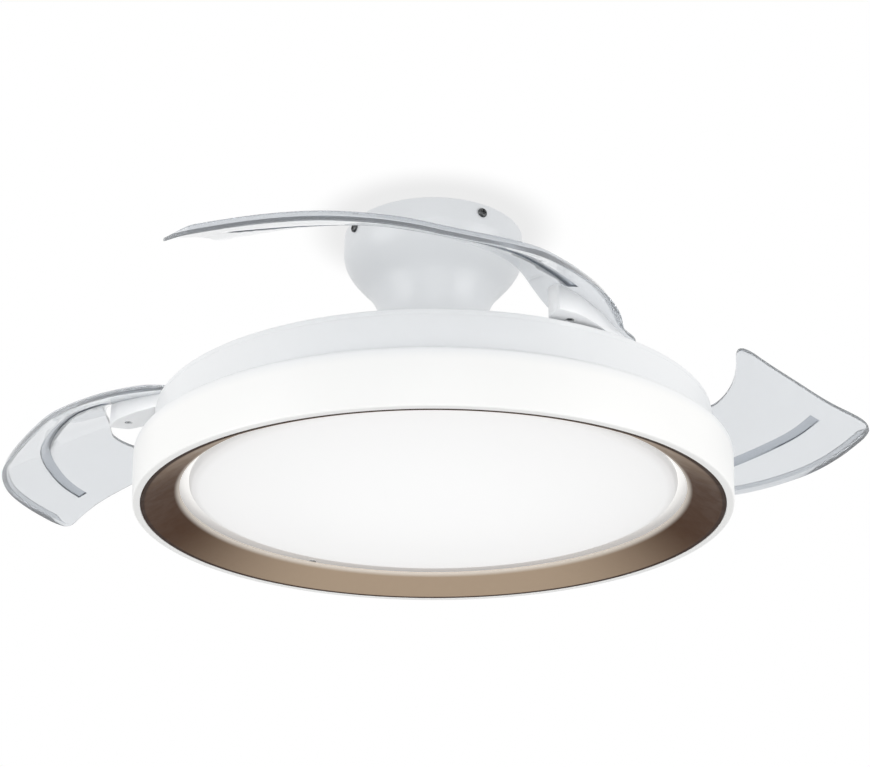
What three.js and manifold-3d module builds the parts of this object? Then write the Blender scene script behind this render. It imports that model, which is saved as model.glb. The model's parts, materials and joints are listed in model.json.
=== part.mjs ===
// Ceiling fan with lamp and three folding blades.
// Millimetres, +Z up. The origin is the middle of the ceiling plate's upper face; the fan hangs below z = 0.
// Heights named "over the rim" are measured up from the lamp's lower rim, and zAt() turns them into z.

import * as THREE from "three";
import * as BufferGeometryUtils from "three/addons/utils/BufferGeometryUtils.js";
import Module from "manifold-3d";

const wasm = await Module();
wasm.setup();

// ---------------------------------------------------------------- driving sizes

const GAP = 0.3;                    // clearance between pieces that meet
const RUNNING_GAP = 0.8;            // clearance between pieces that turn past each other
const ROUND = 36;                   // facets round a large ring
const SMALL_ROUND = 16;             // facets round a small one
const THROUGH = 20;                 // a hole's cutter runs this far past the faces that it cuts

const TOTAL_HEIGHT = 269;           // ceiling to the lamp's lower rim
const BODY_RADIUS = 255.4;          // widest radius of the lamp body
const SHADE_WALL = 3;
const SHADE_FLARE = 1.9;            // the wall widens by this much from rim to waist
const LIP_WIDTH = 6.5;              // flat white lip under the shade
const LIP_HEIGHT = 4;
const SHADE_TOP = 78.5;             // top of the fixed shade, over the rim
const SHADE_WAIST = 39;             // where the lower tier's wall rounds over, over the rim
const CORNER_RADIUS = 8;            // rounding from there to the step between the two tiers
const TIER_INSET = 15.3;            // the upper tier stands in by this much
const ROOF_DROP = 6.5;              // the shade's inner roof lies this far below its top
const UPSTAND = 6;                  // width of the raised rim round the roof

const DISC_THICKNESS = 4;           // turning disc that carries the blades
const NECK_LIFT = 4;                // open space between the disc and the neck

const CANOPY_RADIUS = 81.7;
const CANOPY_BAND = 20;             // upright band at the ceiling
const CANOPY_WALL = 2.5;
const CANOPY_CEILING_GAP = 0.5;
const CANOPY_TAPER = 64;            // height of the funnel below the band
const NECK_RADIUS = 46;
const CANOPY_SCREW_DROP = 10;
const CANOPY_SCREW_ANGLE = -58.5;
const CANOPY_SCREW_COUNT = 4;
const CANOPY_SCREW_LENGTH = 9;

const PLATE_THICKNESS = 3;          // ceiling plate
const EAR_WIDTH = 16;
const EAR_DROP = 18;
const EAR_THICKNESS = 2;
const EAR_TAB = 8;                  // the ears' tabs reach this far in over the plate
const CEILING_SLOT_INSET = 20.2;    // ceiling screw slots, in from the ears
const CEILING_SLOT_ANGLE = -15;
const CEILING_SLOT_HALF_WIDTH = 3.5;
const CEILING_SLOT_HALF_LENGTH = 10.5;
const WIRE_HOLE_RADIUS = 8;
const WIRE_HOLE_INSET = 26.2;       // in from the ears

const RECEIVER_CLEARANCE = 6;       // receiver box to the shaft socket's flange
const RECEIVER_SIDE_ROOM = 5;       // receiver box to the ears on both sides of it
const RECEIVER_END_ROOM = 12;       // receiver box to the canopy
const RECEIVER_HEIGHT = 18;
const RECEIVER_SEAM_DROP = 13;
const RECEIVER_SEAM = 0.8;          // width and depth of the seam round the box
const TERMINAL_BLOCK = [18, 30, 12];
const TERMINAL_CLEARANCE = 9;       // terminal block to the shaft socket's flange
const TERMINAL_SHIFT = 4;
const TERMINAL_PITCH = 9;
const TERMINAL_WELL_RADIUS = 2.2;
const TERMINAL_WELL_DEPTH = 5;

const SHAFT_RADIUS = 9;             // fixed hollow shaft
const SHAFT_BORE = 6;
const SHOULDER_RADIUS = 12;         // thicker stretch of the shaft between the bearings
const SOCKET_FLANGE_RADIUS = 28;
const SOCKET_FLANGE = 4;
const SOCKET_RADIUS = 15;
const SOCKET_DEPTH = 31;
const SOCKET_ROOF = 5;              // solid top over the socket's bore
const SOCKET_SCREW_INSET = 6.5;
const SOCKET_SCREW_ANGLE = 30;
const SOCKET_SCREW_LENGTH = 6;
const WIRE_WINDOW_WIDTH = 9;        // cut across the socket, so that wires reach the shaft's bore
const WIRE_WINDOW_HEIGHT = 7;
const CROSS_PIN_RADIUS = 2.5;
const CROSS_PIN_DROP = 24;
const CROSS_PIN_LENGTH = 38;
const CROSS_PIN_HEAD_RADIUS = 4.1;
const CROSS_PIN_HEAD = 2;
const NUT_RADIUS = 15;
const SHAFT_END_LIFT = 1.2;         // the shaft's lower end, over the ledge's underside
const NUT_LIFT = 0.6;               // the nut's underside, over the shaft's lower end

const DIFFUSER_RADIUS = 208;
const DIFFUSER_WALL = 2.2;
const DIFFUSER_FACE = 13.5;         // lowest point of the diffuser, over the rim
const DIFFUSER_CROWN = 9.5;         // rise from there to the upright edge
const DIFFUSER_FLANGE = 4;          // flange at the diffuser's upper edge, under the tray
const DIFFUSER_FLANGE_THICKNESS = 1.8;
const LUG_COUNT = 3;                // hooks that hold the diffuser up
const LUG_INSET = 4;
const LUG_WIDTH = 14;
const LUG_THICKNESS = 2.4;
const LUG_ROOT = 3;                 // the stem starts this far below the tray
const HOOK_REACH = 3;               // over the tray, inward from the stem
const HOOK_THICKNESS = 2;
const LOCKING_TURN = 4.6;           // the diffuser turns this many degrees to catch on its hooks
const TRIM_INNER_RADIUS = 215.5;    // gold trim cone
const TRIM_INNER_HEIGHT = 16.5;
const TRIM_SKIN = 2;
const TRIM_LIFT = 0.5;              // the cone's outer edge, over the rim
const TRAY_HEIGHT = 26;             // underside of the lamp tray, over the rim
const TRAY_THICKNESS = 2.2;
const TRAY_BORE = 22;
const LEDGE_WIDTH = 24;             // ledge inside the shade, between tray and hanger plate
const LEDGE_THICKNESS = 5.2;
const LEDGE_SCREW_INSET = 10;       // tray screws, out from the ledge's inner edge
const HANGER_PLATE_THICKNESS = 1.5;
const HANGER_PLATE_INSET = 8;
const HANGER_WINDOW_COUNT = 6;
const HANGER_WINDOW_RADIUS = 26;
const HANGER_WINDOW_REACH = 142.9;
const LAMP_DRIVER = [96, 46, 20];
const LAMP_DRIVER_ANGLE = 120;
const LAMP_DRIVER_GROOVES = 7;
const LAMP_DRIVER_GROOVE_PITCH = 12;
const LAMP_DRIVER_GROOVE = [2, 1.5];

const LAMP_BOARD_INNER = 30;
const LAMP_BOARD_OUTER = 195;
const LAMP_BOARD_THICKNESS = 1.5;
const LAMP_CHIP_SIZE = 5;
const LAMP_CHIP_HEIGHT = 1.5;
const LAMP_CHIP_RINGS = [[90, 6], [132, 9], [174, 12]];

const BEARING_RADIUS = 16;
const BEARING_WIDTH = 7;
const BEARING_LIP = 2;              // lips of the motor that hold the bearings' outer rings
const BEARING_BOSS = 4;             // wall round a bearing
const MOTOR_RADIUS = 70;            // outer wall of the turning motor shell
const MOTOR_FLOOR = 42;             // underside of the motor, over the rim
const MOTOR_WALL = 3;
const MOTOR_ROOF = 4;
const MOTOR_FLANGE = 10;
const ROOF_CLEARANCE = 4;           // the shade's roof to the motor's flange
const COVER_SCREW_LENGTH = 6;
const DISC_SCREW_REACH = 32;
const DISC_SCREW_ANGLE = 14;
const DISC_SCREW_LENGTH = 8.5;
const MAGNET_THICKNESS = 6;
const STATOR_TEETH = 9;
const STATOR_HEIGHT = 16;
const STATOR_HUB_RADIUS = 24;
const TOOTH_WIDTH = 9;
const TOOTH_SHOE_DEPTH = 4;
const SLOT_MOUTH = 6;               // gap between neighbouring tooth shoes, in degrees
const MAGNET_OVERHANG = 2;          // the magnets run this far past the stator, above and below
const COIL_CLEARANCE = 6;           // coils to the stator's hub and to the tooth shoes' rim
const CROSSOVER_HALF_WIDTH = 3;
const COIL_THICKNESS = 3.2;
const AIR_GAP = 1;

const BLADE_COUNT = 3;
const PIVOT_INSET = 52.9;           // the hinges lie this far in from the body's edge
const FIRST_PIVOT_ANGLE = -46;
const BLADE_CHORD = 379;            // hinge to blade tip
const BLADE_SHEET = 3;
const BLADE_LIP_HEIGHT = 6;         // upstand along the outer edge
const BLADE_LIP_WIDTH = 3;
const BLADE_LIP_LEAN = 2;           // the upstand leans this far inward
const ROOT_LIP_LEAN = 5;            // and this far near the root
const BLADE_LIFT = 1.6;             // lowest part of the blade, over the disc
const BLADE_ROOT_RISE = 11.8;       // the blade's root lies this much higher
const BLADE_PITCH = 0.56;           // rise per millimetre inward across the middle of the blade
const TIP_PITCH = 0.36;             // and near its tip
const GROOVE_WIDTH = 9;
const GROOVE_DEPTH = 1.2;
const FOLDED_HEADING = 171.9;       // direction of the first blade's chord when folded
const PHOTO_SWING = [38.4, 37.8, 66.6]; // how far each blade stands open, in degrees, going round from the first
const FULL_SWING = 93;

const HINGE_PIN_RADIUS = 5;
const HINGE_HEAD_RADIUS = 9;
const HINGE_HEAD_HEIGHT = 3;
const HINGE_BOSS_RADIUS = 9;
const HINGE_PIN_END = 2;            // the pin's rounded end stands this far over the blade
const ARM_THICKNESS = 11;           // blade arm at the hinge
const ARM_BOSS_RADIUS = 17;
const SPRING_WIRE_RADIUS = 0.8;
const SPRING_TURNS = 3;
const SPRING_PITCH = 2;
const SPRING_ROOM = 6.2;            // depth of the arm's pocket for the spring
const SPRING_CLEARANCE = 1.2;       // spring wire to the hinge boss
const POCKET_CLEARANCE = 0.5;       // spring wire to the pocket's walls
const LIMIT_PEG_REACH = 23;         // distance of the limit peg from the hinge
const LIMIT_PEG_RADIUS = 2.5;
const LIMIT_PEG_BEARING = 22;       // direction of the limit peg from the blade's chord
const ARM_SCREWS = [[34, 20], [68, 41]];
const ARM_SCREW_SHORTFALL = 0.8;    // the blade screws end this far below the blade's top face
const COUNTERBORE_DEPTH = 2.6;

// Each kind of screw: shank radius, head radius, head height.
const CANOPY_SCREW = [2, 4.3, 2.6];
const SOCKET_SCREW = [2.5, 4.4, 2.8];
const TRAY_SCREW = [2, 4, 2.4];
const SMALL_SCREW = [1.5, 3, 1.8];

// ---------------------------------------------------------------- sizes worked out from them

const zAt = (height) => height - TOTAL_HEIGHT;
const radians = THREE.MathUtils.degToRad;

const discBottom = SHADE_TOP + RUNNING_GAP;
const discTop = discBottom + DISC_THICKNESS;
const discRadius = BODY_RADIUS - TIER_INSET;
const stepHeight = SHADE_WAIST + CORNER_RADIUS;
const neckBottom = discTop + NECK_LIFT;
const rimOuter = BODY_RADIUS - SHADE_FLARE;
const rimInner = rimOuter - LIP_WIDTH;
const trimOuter = rimInner - GAP;
const shadeInner = BODY_RADIUS - SHADE_FLARE - SHADE_WALL;
const roofTop = SHADE_TOP - ROOF_DROP;
const trayTop = TRAY_HEIGHT + TRAY_THICKNESS;
const ledgeBottom = trayTop + GAP;
const ledgeTop = ledgeBottom + LEDGE_THICKNESS;
const ledgeInner = shadeInner - LEDGE_WIDTH;
const hangerBottom = ledgeTop + GAP;
const hangerTop = hangerBottom + HANGER_PLATE_THICKNESS;
const pivotRadius = BODY_RADIUS - PIVOT_INSET;
const motorTop = discBottom - GAP;
const bearingSeat = BEARING_RADIUS + GAP;
const bearingBoss = bearingSeat + BEARING_BOSS;
const shaftSlide = SHAFT_RADIUS + GAP;
const shaftLow = ledgeBottom + SHAFT_END_LIFT;
const lowerBearing = MOTOR_FLOOR + BEARING_LIP + GAP;
const upperBearing = motorTop - BEARING_LIP - GAP - BEARING_WIDTH;
const bladeLow = discTop + BLADE_LIFT;
const rootHeight = bladeLow + BLADE_ROOT_RISE;
const armBottom = rootHeight - GAP - ARM_THICKNESS;
const springRadius = HINGE_BOSS_RADIUS + GAP + SPRING_WIRE_RADIUS + SPRING_CLEARANCE;

// ---------------------------------------------------------------- materials

function paint(color, roughness, metalness = 0) {
  return new THREE.MeshStandardMaterial({ color, roughness, metalness });
}

function glassy(color, roughness, opacity) {
  return new THREE.MeshStandardMaterial({ color, roughness, transparent: true, opacity });
}

const white = paint(0xf1f1ef, 0.5);
const canopyWhite = paint(0xe6e7e8, 0.5);
const gold = paint(0x9c8467, 0.4, 0.35);
const milk = paint(0xfbfbf8, 0.6);
const clear = glassy(0xc9ced4, 0.1, 0.5);
const smoke = glassy(0xaab0b7, 0.2, 0.7);
const steel = paint(0x9a9da1, 0.35, 0.9);
const blackSteel = paint(0x2b2d30, 0.4, 0.8);
const zinc = paint(0xb9bcc0, 0.45, 0.8);
const alloy = paint(0xc4c6c8, 0.5, 0.9);
const copper = paint(0xb06a3a, 0.4, 0.8);
const ferrite = paint(0x3a3a3d, 0.7);
const board = paint(0xe9ece8, 0.5);
const casing = paint(0xdedfdd, 0.6);
const nylon = paint(0xd9d8d2, 0.6);

// ---------------------------------------------------------------- solids

// Shared vertices, no needle faces, and all faces pointing out.
function closed(geometry) {
  const bare = geometry.index ? geometry.toNonIndexed() : geometry.clone();
  for (const name of Object.keys(bare.attributes)) {
    if (name !== "position") bare.deleteAttribute(name);
  }
  const merged = BufferGeometryUtils.mergeVertices(bare, 1e-3);
  const index = merged.index.array;
  const position = merged.attributes.position;
  const faces = [];
  const a = new THREE.Vector3();
  const b = new THREE.Vector3();
  const c = new THREE.Vector3();
  let volume = 0;
  for (let i = 0; i < index.length; i += 3) {
    const [p, q, r] = [index[i], index[i + 1], index[i + 2]];
    if (p === q || q === r || r === p) continue;
    faces.push([p, q, r]);
    a.fromBufferAttribute(position, p);
    b.fromBufferAttribute(position, q);
    c.fromBufferAttribute(position, r);
    volume += a.dot(b.cross(c));
  }
  merged.setIndex(faces.flatMap(([p, q, r]) => (volume > 0 ? [p, q, r] : [p, r, q])));
  return merged;
}

function toManifold(geometry) {
  const mesh = closed(geometry);
  return new wasm.Manifold(new wasm.Mesh({
    numProp: 3,
    vertProperties: new Float32Array(mesh.attributes.position.array),
    triVerts: new Uint32Array(mesh.index.array),
  }));
}

function fromManifold(solid) {
  const mesh = solid.getMesh();
  const geometry = new THREE.BufferGeometry();
  geometry.setAttribute("position", new THREE.BufferAttribute(new Float32Array(mesh.vertProperties), 3));
  geometry.setIndex(new THREE.BufferAttribute(new Uint32Array(mesh.triVerts), 1));
  return geometry;
}

function cut(base, ...tools) {
  return fromManifold(tools.reduce((solid, tool) => solid.subtract(toManifold(tool)), toManifold(base)));
}

function join(base, ...others) {
  return fromManifold(others.reduce((solid, other) => solid.add(toManifold(other)), toManifold(base)));
}

// A profile of [radius, z] points turned about the Z axis.
function turned(profile, segments = SMALL_ROUND) {
  const points = profile.map(([radius, z]) => new THREE.Vector2(radius, z));
  const onAxis = profile[0][0] === 0;
  if (!onAxis) points.push(points[0].clone());
  return new THREE.LatheGeometry(points, segments).rotateX(Math.PI / 2);
}

// The same, with heights measured over the rim.
function turnedOverRim(profile, segments = ROUND) {
  return turned(profile.map(([radius, height]) => [radius, zAt(height)]), segments);
}

function ring(inner, outer, low, high, segments = SMALL_ROUND) {
  return turned([[inner, low], [outer, low], [outer, high], [inner, high]], segments);
}

function rod(radius, low, high, segments = SMALL_ROUND) {
  return turned([[0, low], [radius, low], [radius, high], [0, high]], segments);
}

function block(width, depth, low, high) {
  return new THREE.BoxGeometry(width, depth, high - low).translate(0, 0, (low + high) / 2);
}

function slab(shape, low, high, curveSegments = 8) {
  const options = { depth: high - low, bevelEnabled: false, curveSegments };
  return new THREE.ExtrudeGeometry(shape, options).translate(0, 0, low);
}

function drill(radius, low, high) {
  return rod(radius, low, high, 8);
}

// Pan-head screw pointing down, with a slot in its head; z = 0 is the seat under the head.
function screw([shankRadius, headRadius, headHeight], length) {
  const body = turned([
    [0, -length], [shankRadius * 0.6, -length], [shankRadius, -length + shankRadius], [shankRadius, 0],
    [headRadius, 0], [headRadius, headHeight * 0.55], [headRadius * 0.7, headHeight], [0, headHeight],
  ], 8);
  return cut(body, block(headRadius * 1.3, headRadius * 0.3, headHeight * 0.45, headHeight * 2));
}

const group = new THREE.Group();

function add(parent, name, geometry, material) {
  const mesh = new THREE.Mesh(closed(geometry), material);
  mesh.name = name;
  parent.add(mesh);
  return mesh;
}

function smooth(t) {
  const u = THREE.MathUtils.clamp(t, 0, 1);
  return u * u * (3 - 2 * u);
}

// ---------------------------------------------------------------- ceiling plate and canopy

function canopyScrewAngle(i) {
  return radians(CANOPY_SCREW_ANGLE + (360 / CANOPY_SCREW_COUNT) * i);
}

function canopyScrewPlace(geometry, i) {
  const lying = geometry.rotateY(Math.PI / 2).translate(CANOPY_RADIUS, 0, -CANOPY_SCREW_DROP);
  return lying.rotateZ(canopyScrewAngle(i));
}

function canopyScrewHole(i) {
  return canopyScrewPlace(drill(CANOPY_SCREW[0] + GAP, -THROUGH, THROUGH), i);
}

function socketScrewPlace(geometry, i) {
  const reach = SOCKET_FLANGE_RADIUS - SOCKET_SCREW_INSET;
  return geometry.translate(reach, 0, 0).rotateZ(radians(SOCKET_SCREW_ANGLE + 180 * i));
}

function socketScrewHole(i) {
  return socketScrewPlace(drill(SOCKET_SCREW[0] + GAP, -THROUGH, THROUGH), i);
}

const underPlate = -PLATE_THICKNESS - GAP;
const canopyInner = CANOPY_RADIUS - CANOPY_WALL;
const earRoom = canopyInner * Math.cos(Math.PI / ROUND) - GAP;
const earOuter = Math.sqrt(earRoom ** 2 - (EAR_WIDTH / 2) ** 2);
const earInner = earOuter - EAR_THICKNESS;

function ceilingSlot(angle) {
  const bend = CEILING_SLOT_HALF_LENGTH - CEILING_SLOT_HALF_WIDTH;
  const shape = new THREE.Shape();
  shape.absarc(bend, 0, CEILING_SLOT_HALF_WIDTH, -Math.PI / 2, Math.PI / 2);
  shape.absarc(-bend, 0, CEILING_SLOT_HALF_WIDTH, Math.PI / 2, Math.PI * 1.5);
  const slot = slab(shape, -THROUGH, THROUGH, 6).rotateZ(Math.PI / 2);
  return slot.translate(earOuter - CEILING_SLOT_INSET, 0, 0).rotateZ(radians(angle));
}

function ceilingPlate() {
  const plate = rod(earInner, -PLATE_THICKNESS, 0, ROUND);
  const ears = [];
  const wireHole = drill(WIRE_HOLE_RADIUS, -THROUGH, THROUGH).translate(0, WIRE_HOLE_INSET - earOuter, 0);
  const holes = [wireHole, ceilingSlot(CEILING_SLOT_ANGLE), ceilingSlot(CEILING_SLOT_ANGLE + 180)];
  for (let i = 0; i < CANOPY_SCREW_COUNT; i += 1) {
    const angle = canopyScrewAngle(i);
    const tab = block(EAR_TAB, EAR_WIDTH, -PLATE_THICKNESS, 0).translate(earOuter - EAR_TAB / 2, 0, 0);
    const ear = block(EAR_THICKNESS, EAR_WIDTH, -EAR_DROP, 0).translate(earOuter - EAR_THICKNESS / 2, 0, 0);
    ears.push(tab.rotateZ(angle), ear.rotateZ(angle));
    holes.push(canopyScrewHole(i));
  }
  return cut(join(plate, ...ears), ...holes, socketScrewHole(0), socketScrewHole(1));
}

// Funnel outline: upright band, rounded shoulder, hollow taper, straight neck.
function canopyProfile(inset) {
  const drop = CANOPY_RADIUS - NECK_RADIUS;
  const taper = [
    [0, 0], [0.06, 0.11], [0.17, 0.22], [0.34, 0.34], [0.665, 0.55], [0.885, 0.8], [0.965, 1],
  ].map(([inward, down]) => [CANOPY_RADIUS - inset - drop * inward, -CANOPY_BAND - CANOPY_TAPER * down]);
  const neck = NECK_RADIUS - inset;
  const neckTop = -CANOPY_BAND - CANOPY_TAPER * 1.35;
  return [[CANOPY_RADIUS - inset, -CANOPY_CEILING_GAP], ...taper, [neck, neckTop], [neck, zAt(neckBottom)]];
}

function canopy() {
  const shell = turned([...canopyProfile(0), ...canopyProfile(CANOPY_WALL).reverse()], ROUND);
  const holes = [];
  for (let i = 0; i < CANOPY_SCREW_COUNT; i += 1) holes.push(canopyScrewHole(i));
  return cut(shell, ...holes);
}

// The box fills the room between the socket's flange, the two ears behind it and the canopy.
function receiverBox() {
  const earAngle = canopyScrewAngle(2);
  const earEdge = earInner * Math.cos(earAngle) + (EAR_WIDTH / 2) * Math.sin(earAngle);
  const halfWidth = Math.abs(earEdge) - RECEIVER_SIDE_ROOM;
  const front = SOCKET_FLANGE_RADIUS + RECEIVER_CLEARANCE;
  const back = Math.sqrt(canopyInner ** 2 - halfWidth ** 2) - RECEIVER_END_ROOM;
  const [width, depth] = [2 * halfWidth, back - front];
  const seam = RECEIVER_SEAM;
  const band = block(width + 2, depth + 2, -RECEIVER_SEAM_DROP, seam - RECEIVER_SEAM_DROP);
  const core = block(width - 2 * seam, depth - 2 * seam, -RECEIVER_HEIGHT, 0);
  const box = cut(block(width, depth, -RECEIVER_HEIGHT, 0), cut(band, core));
  return box.translate(0, (front + back) / 2, underPlate);
}

function terminalBlock() {
  const [width, depth, height] = TERMINAL_BLOCK;
  const well = (place) => {
    const hole = drill(TERMINAL_WELL_RADIUS, -height - THROUGH, TERMINAL_WELL_DEPTH - height);
    return hole.translate(0, place * TERMINAL_PITCH, 0);
  };
  const wells = [well(-1), well(0), well(1)];
  const reach = SOCKET_FLANGE_RADIUS + TERMINAL_CLEARANCE + width / 2;
  return cut(block(width, depth, -height, 0), ...wells).translate(-reach, TERMINAL_SHIFT, underPlate);
}

function ceilingParts() {
  add(group, "ceiling_plate", ceilingPlate(), zinc);
  add(group, "canopy", canopy(), canopyWhite);
  for (let i = 0; i < CANOPY_SCREW_COUNT; i += 1) {
    const piece = screw(CANOPY_SCREW, CANOPY_SCREW_LENGTH).translate(0, 0, GAP);
    add(group, `canopy_screw_${i + 1}`, canopyScrewPlace(piece, i), blackSteel);
  }
  add(group, "receiver_box", receiverBox(), casing);
  add(group, "terminal_block", terminalBlock(), nylon);
}

// ---------------------------------------------------------------- fixed shaft

const socketTop = underPlate;
const socketBoreTop = socketTop - SOCKET_ROOF;
const wireWindowTop = socketBoreTop - 1;
const wireWindowLow = wireWindowTop - WIRE_WINDOW_HEIGHT;

function crossHole(radius) {
  const length = 4 * THROUGH;
  const lying = new THREE.CylinderGeometry(radius, radius, length, 10).rotateZ(Math.PI / 2);
  return lying.translate(0, 0, -CROSS_PIN_DROP);
}

function shaftSocket() {
  const low = socketTop - SOCKET_DEPTH;
  const body = turned([
    [0, socketTop], [SOCKET_FLANGE_RADIUS, socketTop], [SOCKET_FLANGE_RADIUS, socketTop - SOCKET_FLANGE],
    [SOCKET_RADIUS, socketTop - SOCKET_FLANGE], [SOCKET_RADIUS, low], [0, low],
  ]);
  const bore = rod(shaftSlide, low - THROUGH, socketBoreTop);
  const across = 2 * SOCKET_FLANGE_RADIUS + THROUGH;
  const wireWindow = block(across, WIRE_WINDOW_WIDTH, wireWindowLow, wireWindowTop);
  const pinHole = crossHole(CROSS_PIN_RADIUS + GAP);
  return cut(body, bore, pinHole, wireWindow, socketScrewHole(0), socketScrewHole(1));
}

function hollowShaft() {
  const low = zAt(shaftLow);
  const high = wireWindowLow - 1;
  const shoulderLow = zAt(lowerBearing + BEARING_WIDTH + GAP);
  const shoulderHigh = zAt(upperBearing - GAP);
  const tube = turned([
    [SHAFT_BORE, low], [SHAFT_RADIUS, low], [SHAFT_RADIUS, shoulderLow], [SHOULDER_RADIUS, shoulderLow],
    [SHOULDER_RADIUS, shoulderHigh], [SHAFT_RADIUS, shoulderHigh], [SHAFT_RADIUS, high], [SHAFT_BORE, high],
  ]);
  return cut(tube, crossHole(CROSS_PIN_RADIUS + GAP));
}

function crossPin() {
  const half = CROSS_PIN_LENGTH / 2;
  const headStart = half - CROSS_PIN_HEAD;
  const pin = turned([
    [0, -half], [CROSS_PIN_RADIUS, -half], [CROSS_PIN_RADIUS, headStart], [CROSS_PIN_HEAD_RADIUS, headStart],
    [CROSS_PIN_HEAD_RADIUS, half], [0, half],
  ], 10);
  return pin.rotateY(Math.PI / 2).translate(0, 0, -CROSS_PIN_DROP);
}

function shaftNut() {
  const low = zAt(shaftLow + NUT_LIFT);
  const high = zAt(hangerBottom - GAP);
  return cut(rod(NUT_RADIUS, low, high, 6), rod(shaftSlide, low - THROUGH, high + THROUGH));
}

function shaftParts() {
  add(group, "shaft_socket", shaftSocket(), zinc);
  for (let i = 0; i < 2; i += 1) {
    const seat = socketTop - SOCKET_FLANGE - GAP;
    const piece = screw(SOCKET_SCREW, SOCKET_SCREW_LENGTH).rotateX(Math.PI).translate(0, 0, seat);
    add(group, `socket_screw_${i + 1}`, socketScrewPlace(piece, i), steel);
  }
  add(group, "hollow_shaft", hollowShaft(), steel);
  add(group, "cross_pin", crossPin(), steel);
  add(group, "shaft_nut", shaftNut(), steel);
  const collar = ring(shaftSlide, SHOULDER_RADIUS, zAt(hangerTop + GAP), zAt(lowerBearing - GAP));
  add(group, "shaft_collar", collar, steel);
}

// ---------------------------------------------------------------- lamp body

// Quarter round between the lower tier's wall and the step, from the wall up.
function wallCorner(radius, steps) {
  const points = [];
  for (let i = 0; i <= steps; i += 1) {
    const turn = (i / steps) * (Math.PI / 2);
    const across = BODY_RADIUS - CORNER_RADIUS + radius * Math.cos(turn);
    points.push([across, SHADE_WAIST + radius * Math.sin(turn)]);
  }
  return points;
}

function ledgeScrewPlace(geometry, i) {
  return geometry.translate(ledgeInner + LEDGE_SCREW_INSET, 0, 0).rotateZ(radians(120 * i));
}

function ledgeScrewHole(i) {
  const hole = drill(TRAY_SCREW[0] + GAP, zAt(TRAY_HEIGHT - THROUGH), zAt(hangerTop + THROUGH));
  return ledgeScrewPlace(hole, i);
}

function shade() {
  const roofInner = MOTOR_RADIUS + MOTOR_FLANGE + ROOF_CLEARANCE;
  const upstandInner = discRadius - UPSTAND;
  const profile = [
    [rimInner, 1], [rimInner + 1, 0], [rimOuter - 1.5, 0], [rimOuter, 1.5],
    ...wallCorner(CORNER_RADIUS, 4),
    [discRadius, stepHeight], [discRadius, SHADE_TOP],
    [upstandInner, SHADE_TOP], [upstandInner, roofTop], [roofInner, roofTop],
    [roofInner, roofTop - SHADE_WALL], [discRadius - SHADE_WALL, roofTop - SHADE_WALL],
    [discRadius - SHADE_WALL, stepHeight - SHADE_WALL],
    ...wallCorner(CORNER_RADIUS - SHADE_WALL, 2).reverse(),
    [shadeInner, ledgeTop], [ledgeInner, ledgeTop], [ledgeInner, ledgeBottom],
    [shadeInner, ledgeBottom], [shadeInner, LIP_HEIGHT], [rimInner, LIP_HEIGHT],
  ];
  return cut(turnedOverRim(profile), ledgeScrewHole(0), ledgeScrewHole(1), ledgeScrewHole(2));
}

// Gold cone with an upright outer wall, and a flange that lies on the shade's lip.
function trim() {
  const flangeLow = LIP_HEIGHT + GAP;
  const wallInner = trimOuter - TRIM_SKIN;
  return turnedOverRim([
    [trimOuter, TRIM_LIFT], [trimOuter, flangeLow], [shadeInner - GAP, flangeLow],
    [shadeInner - GAP, flangeLow + TRIM_SKIN], [trimOuter, flangeLow + TRIM_SKIN], [trimOuter, trayTop],
    [wallInner, trayTop], [wallInner, TRIM_LIFT + TRIM_SKIN * 1.6],
    [TRIM_INNER_RADIUS, TRIM_INNER_HEIGHT + TRIM_SKIN], [TRIM_INNER_RADIUS, TRIM_INNER_HEIGHT],
  ]);
}

function lugPlace(geometry, i) {
  const angle = radians(60 + (360 / LUG_COUNT) * i);
  return geometry.translate(DIFFUSER_RADIUS - LUG_INSET, 0, 0).rotateZ(angle);
}

// Stem that passes up through the tray, and a hook on it that lies over the tray's upper face.
function lug(i) {
  const hookLow = zAt(trayTop + GAP);
  const hookHigh = hookLow + HOOK_THICKNESS;
  const stem = block(LUG_THICKNESS, LUG_WIDTH, zAt(TRAY_HEIGHT - LUG_ROOT), hookHigh);
  const hook = block(LUG_THICKNESS + HOOK_REACH, LUG_WIDTH, hookLow, hookHigh);
  return lugPlace(join(stem, hook.translate(-HOOK_REACH / 2, 0, 0)), i);
}

// The hook enters the tray where the slot is wide, and the stem then slides round into its narrow end.
function lugSlots(i) {
  const low = zAt(TRAY_HEIGHT - THROUGH);
  const high = zAt(trayTop + THROUGH);
  const slots = [0, 0.5, 1].map((share) => {
    const stemRoom = block(LUG_THICKNESS + 2 * GAP, LUG_WIDTH + 2 * GAP, low, high);
    return lugPlace(stemRoom, i).rotateZ(radians(-LOCKING_TURN * share));
  });
  const entry = block(LUG_THICKNESS + HOOK_REACH + 2 * GAP, LUG_WIDTH + 2 * GAP, low, high);
  const entryPlaced = lugPlace(entry.translate(-HOOK_REACH / 2, 0, 0), i).rotateZ(radians(-LOCKING_TURN));
  return [...slots, entryPlaced];
}

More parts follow.
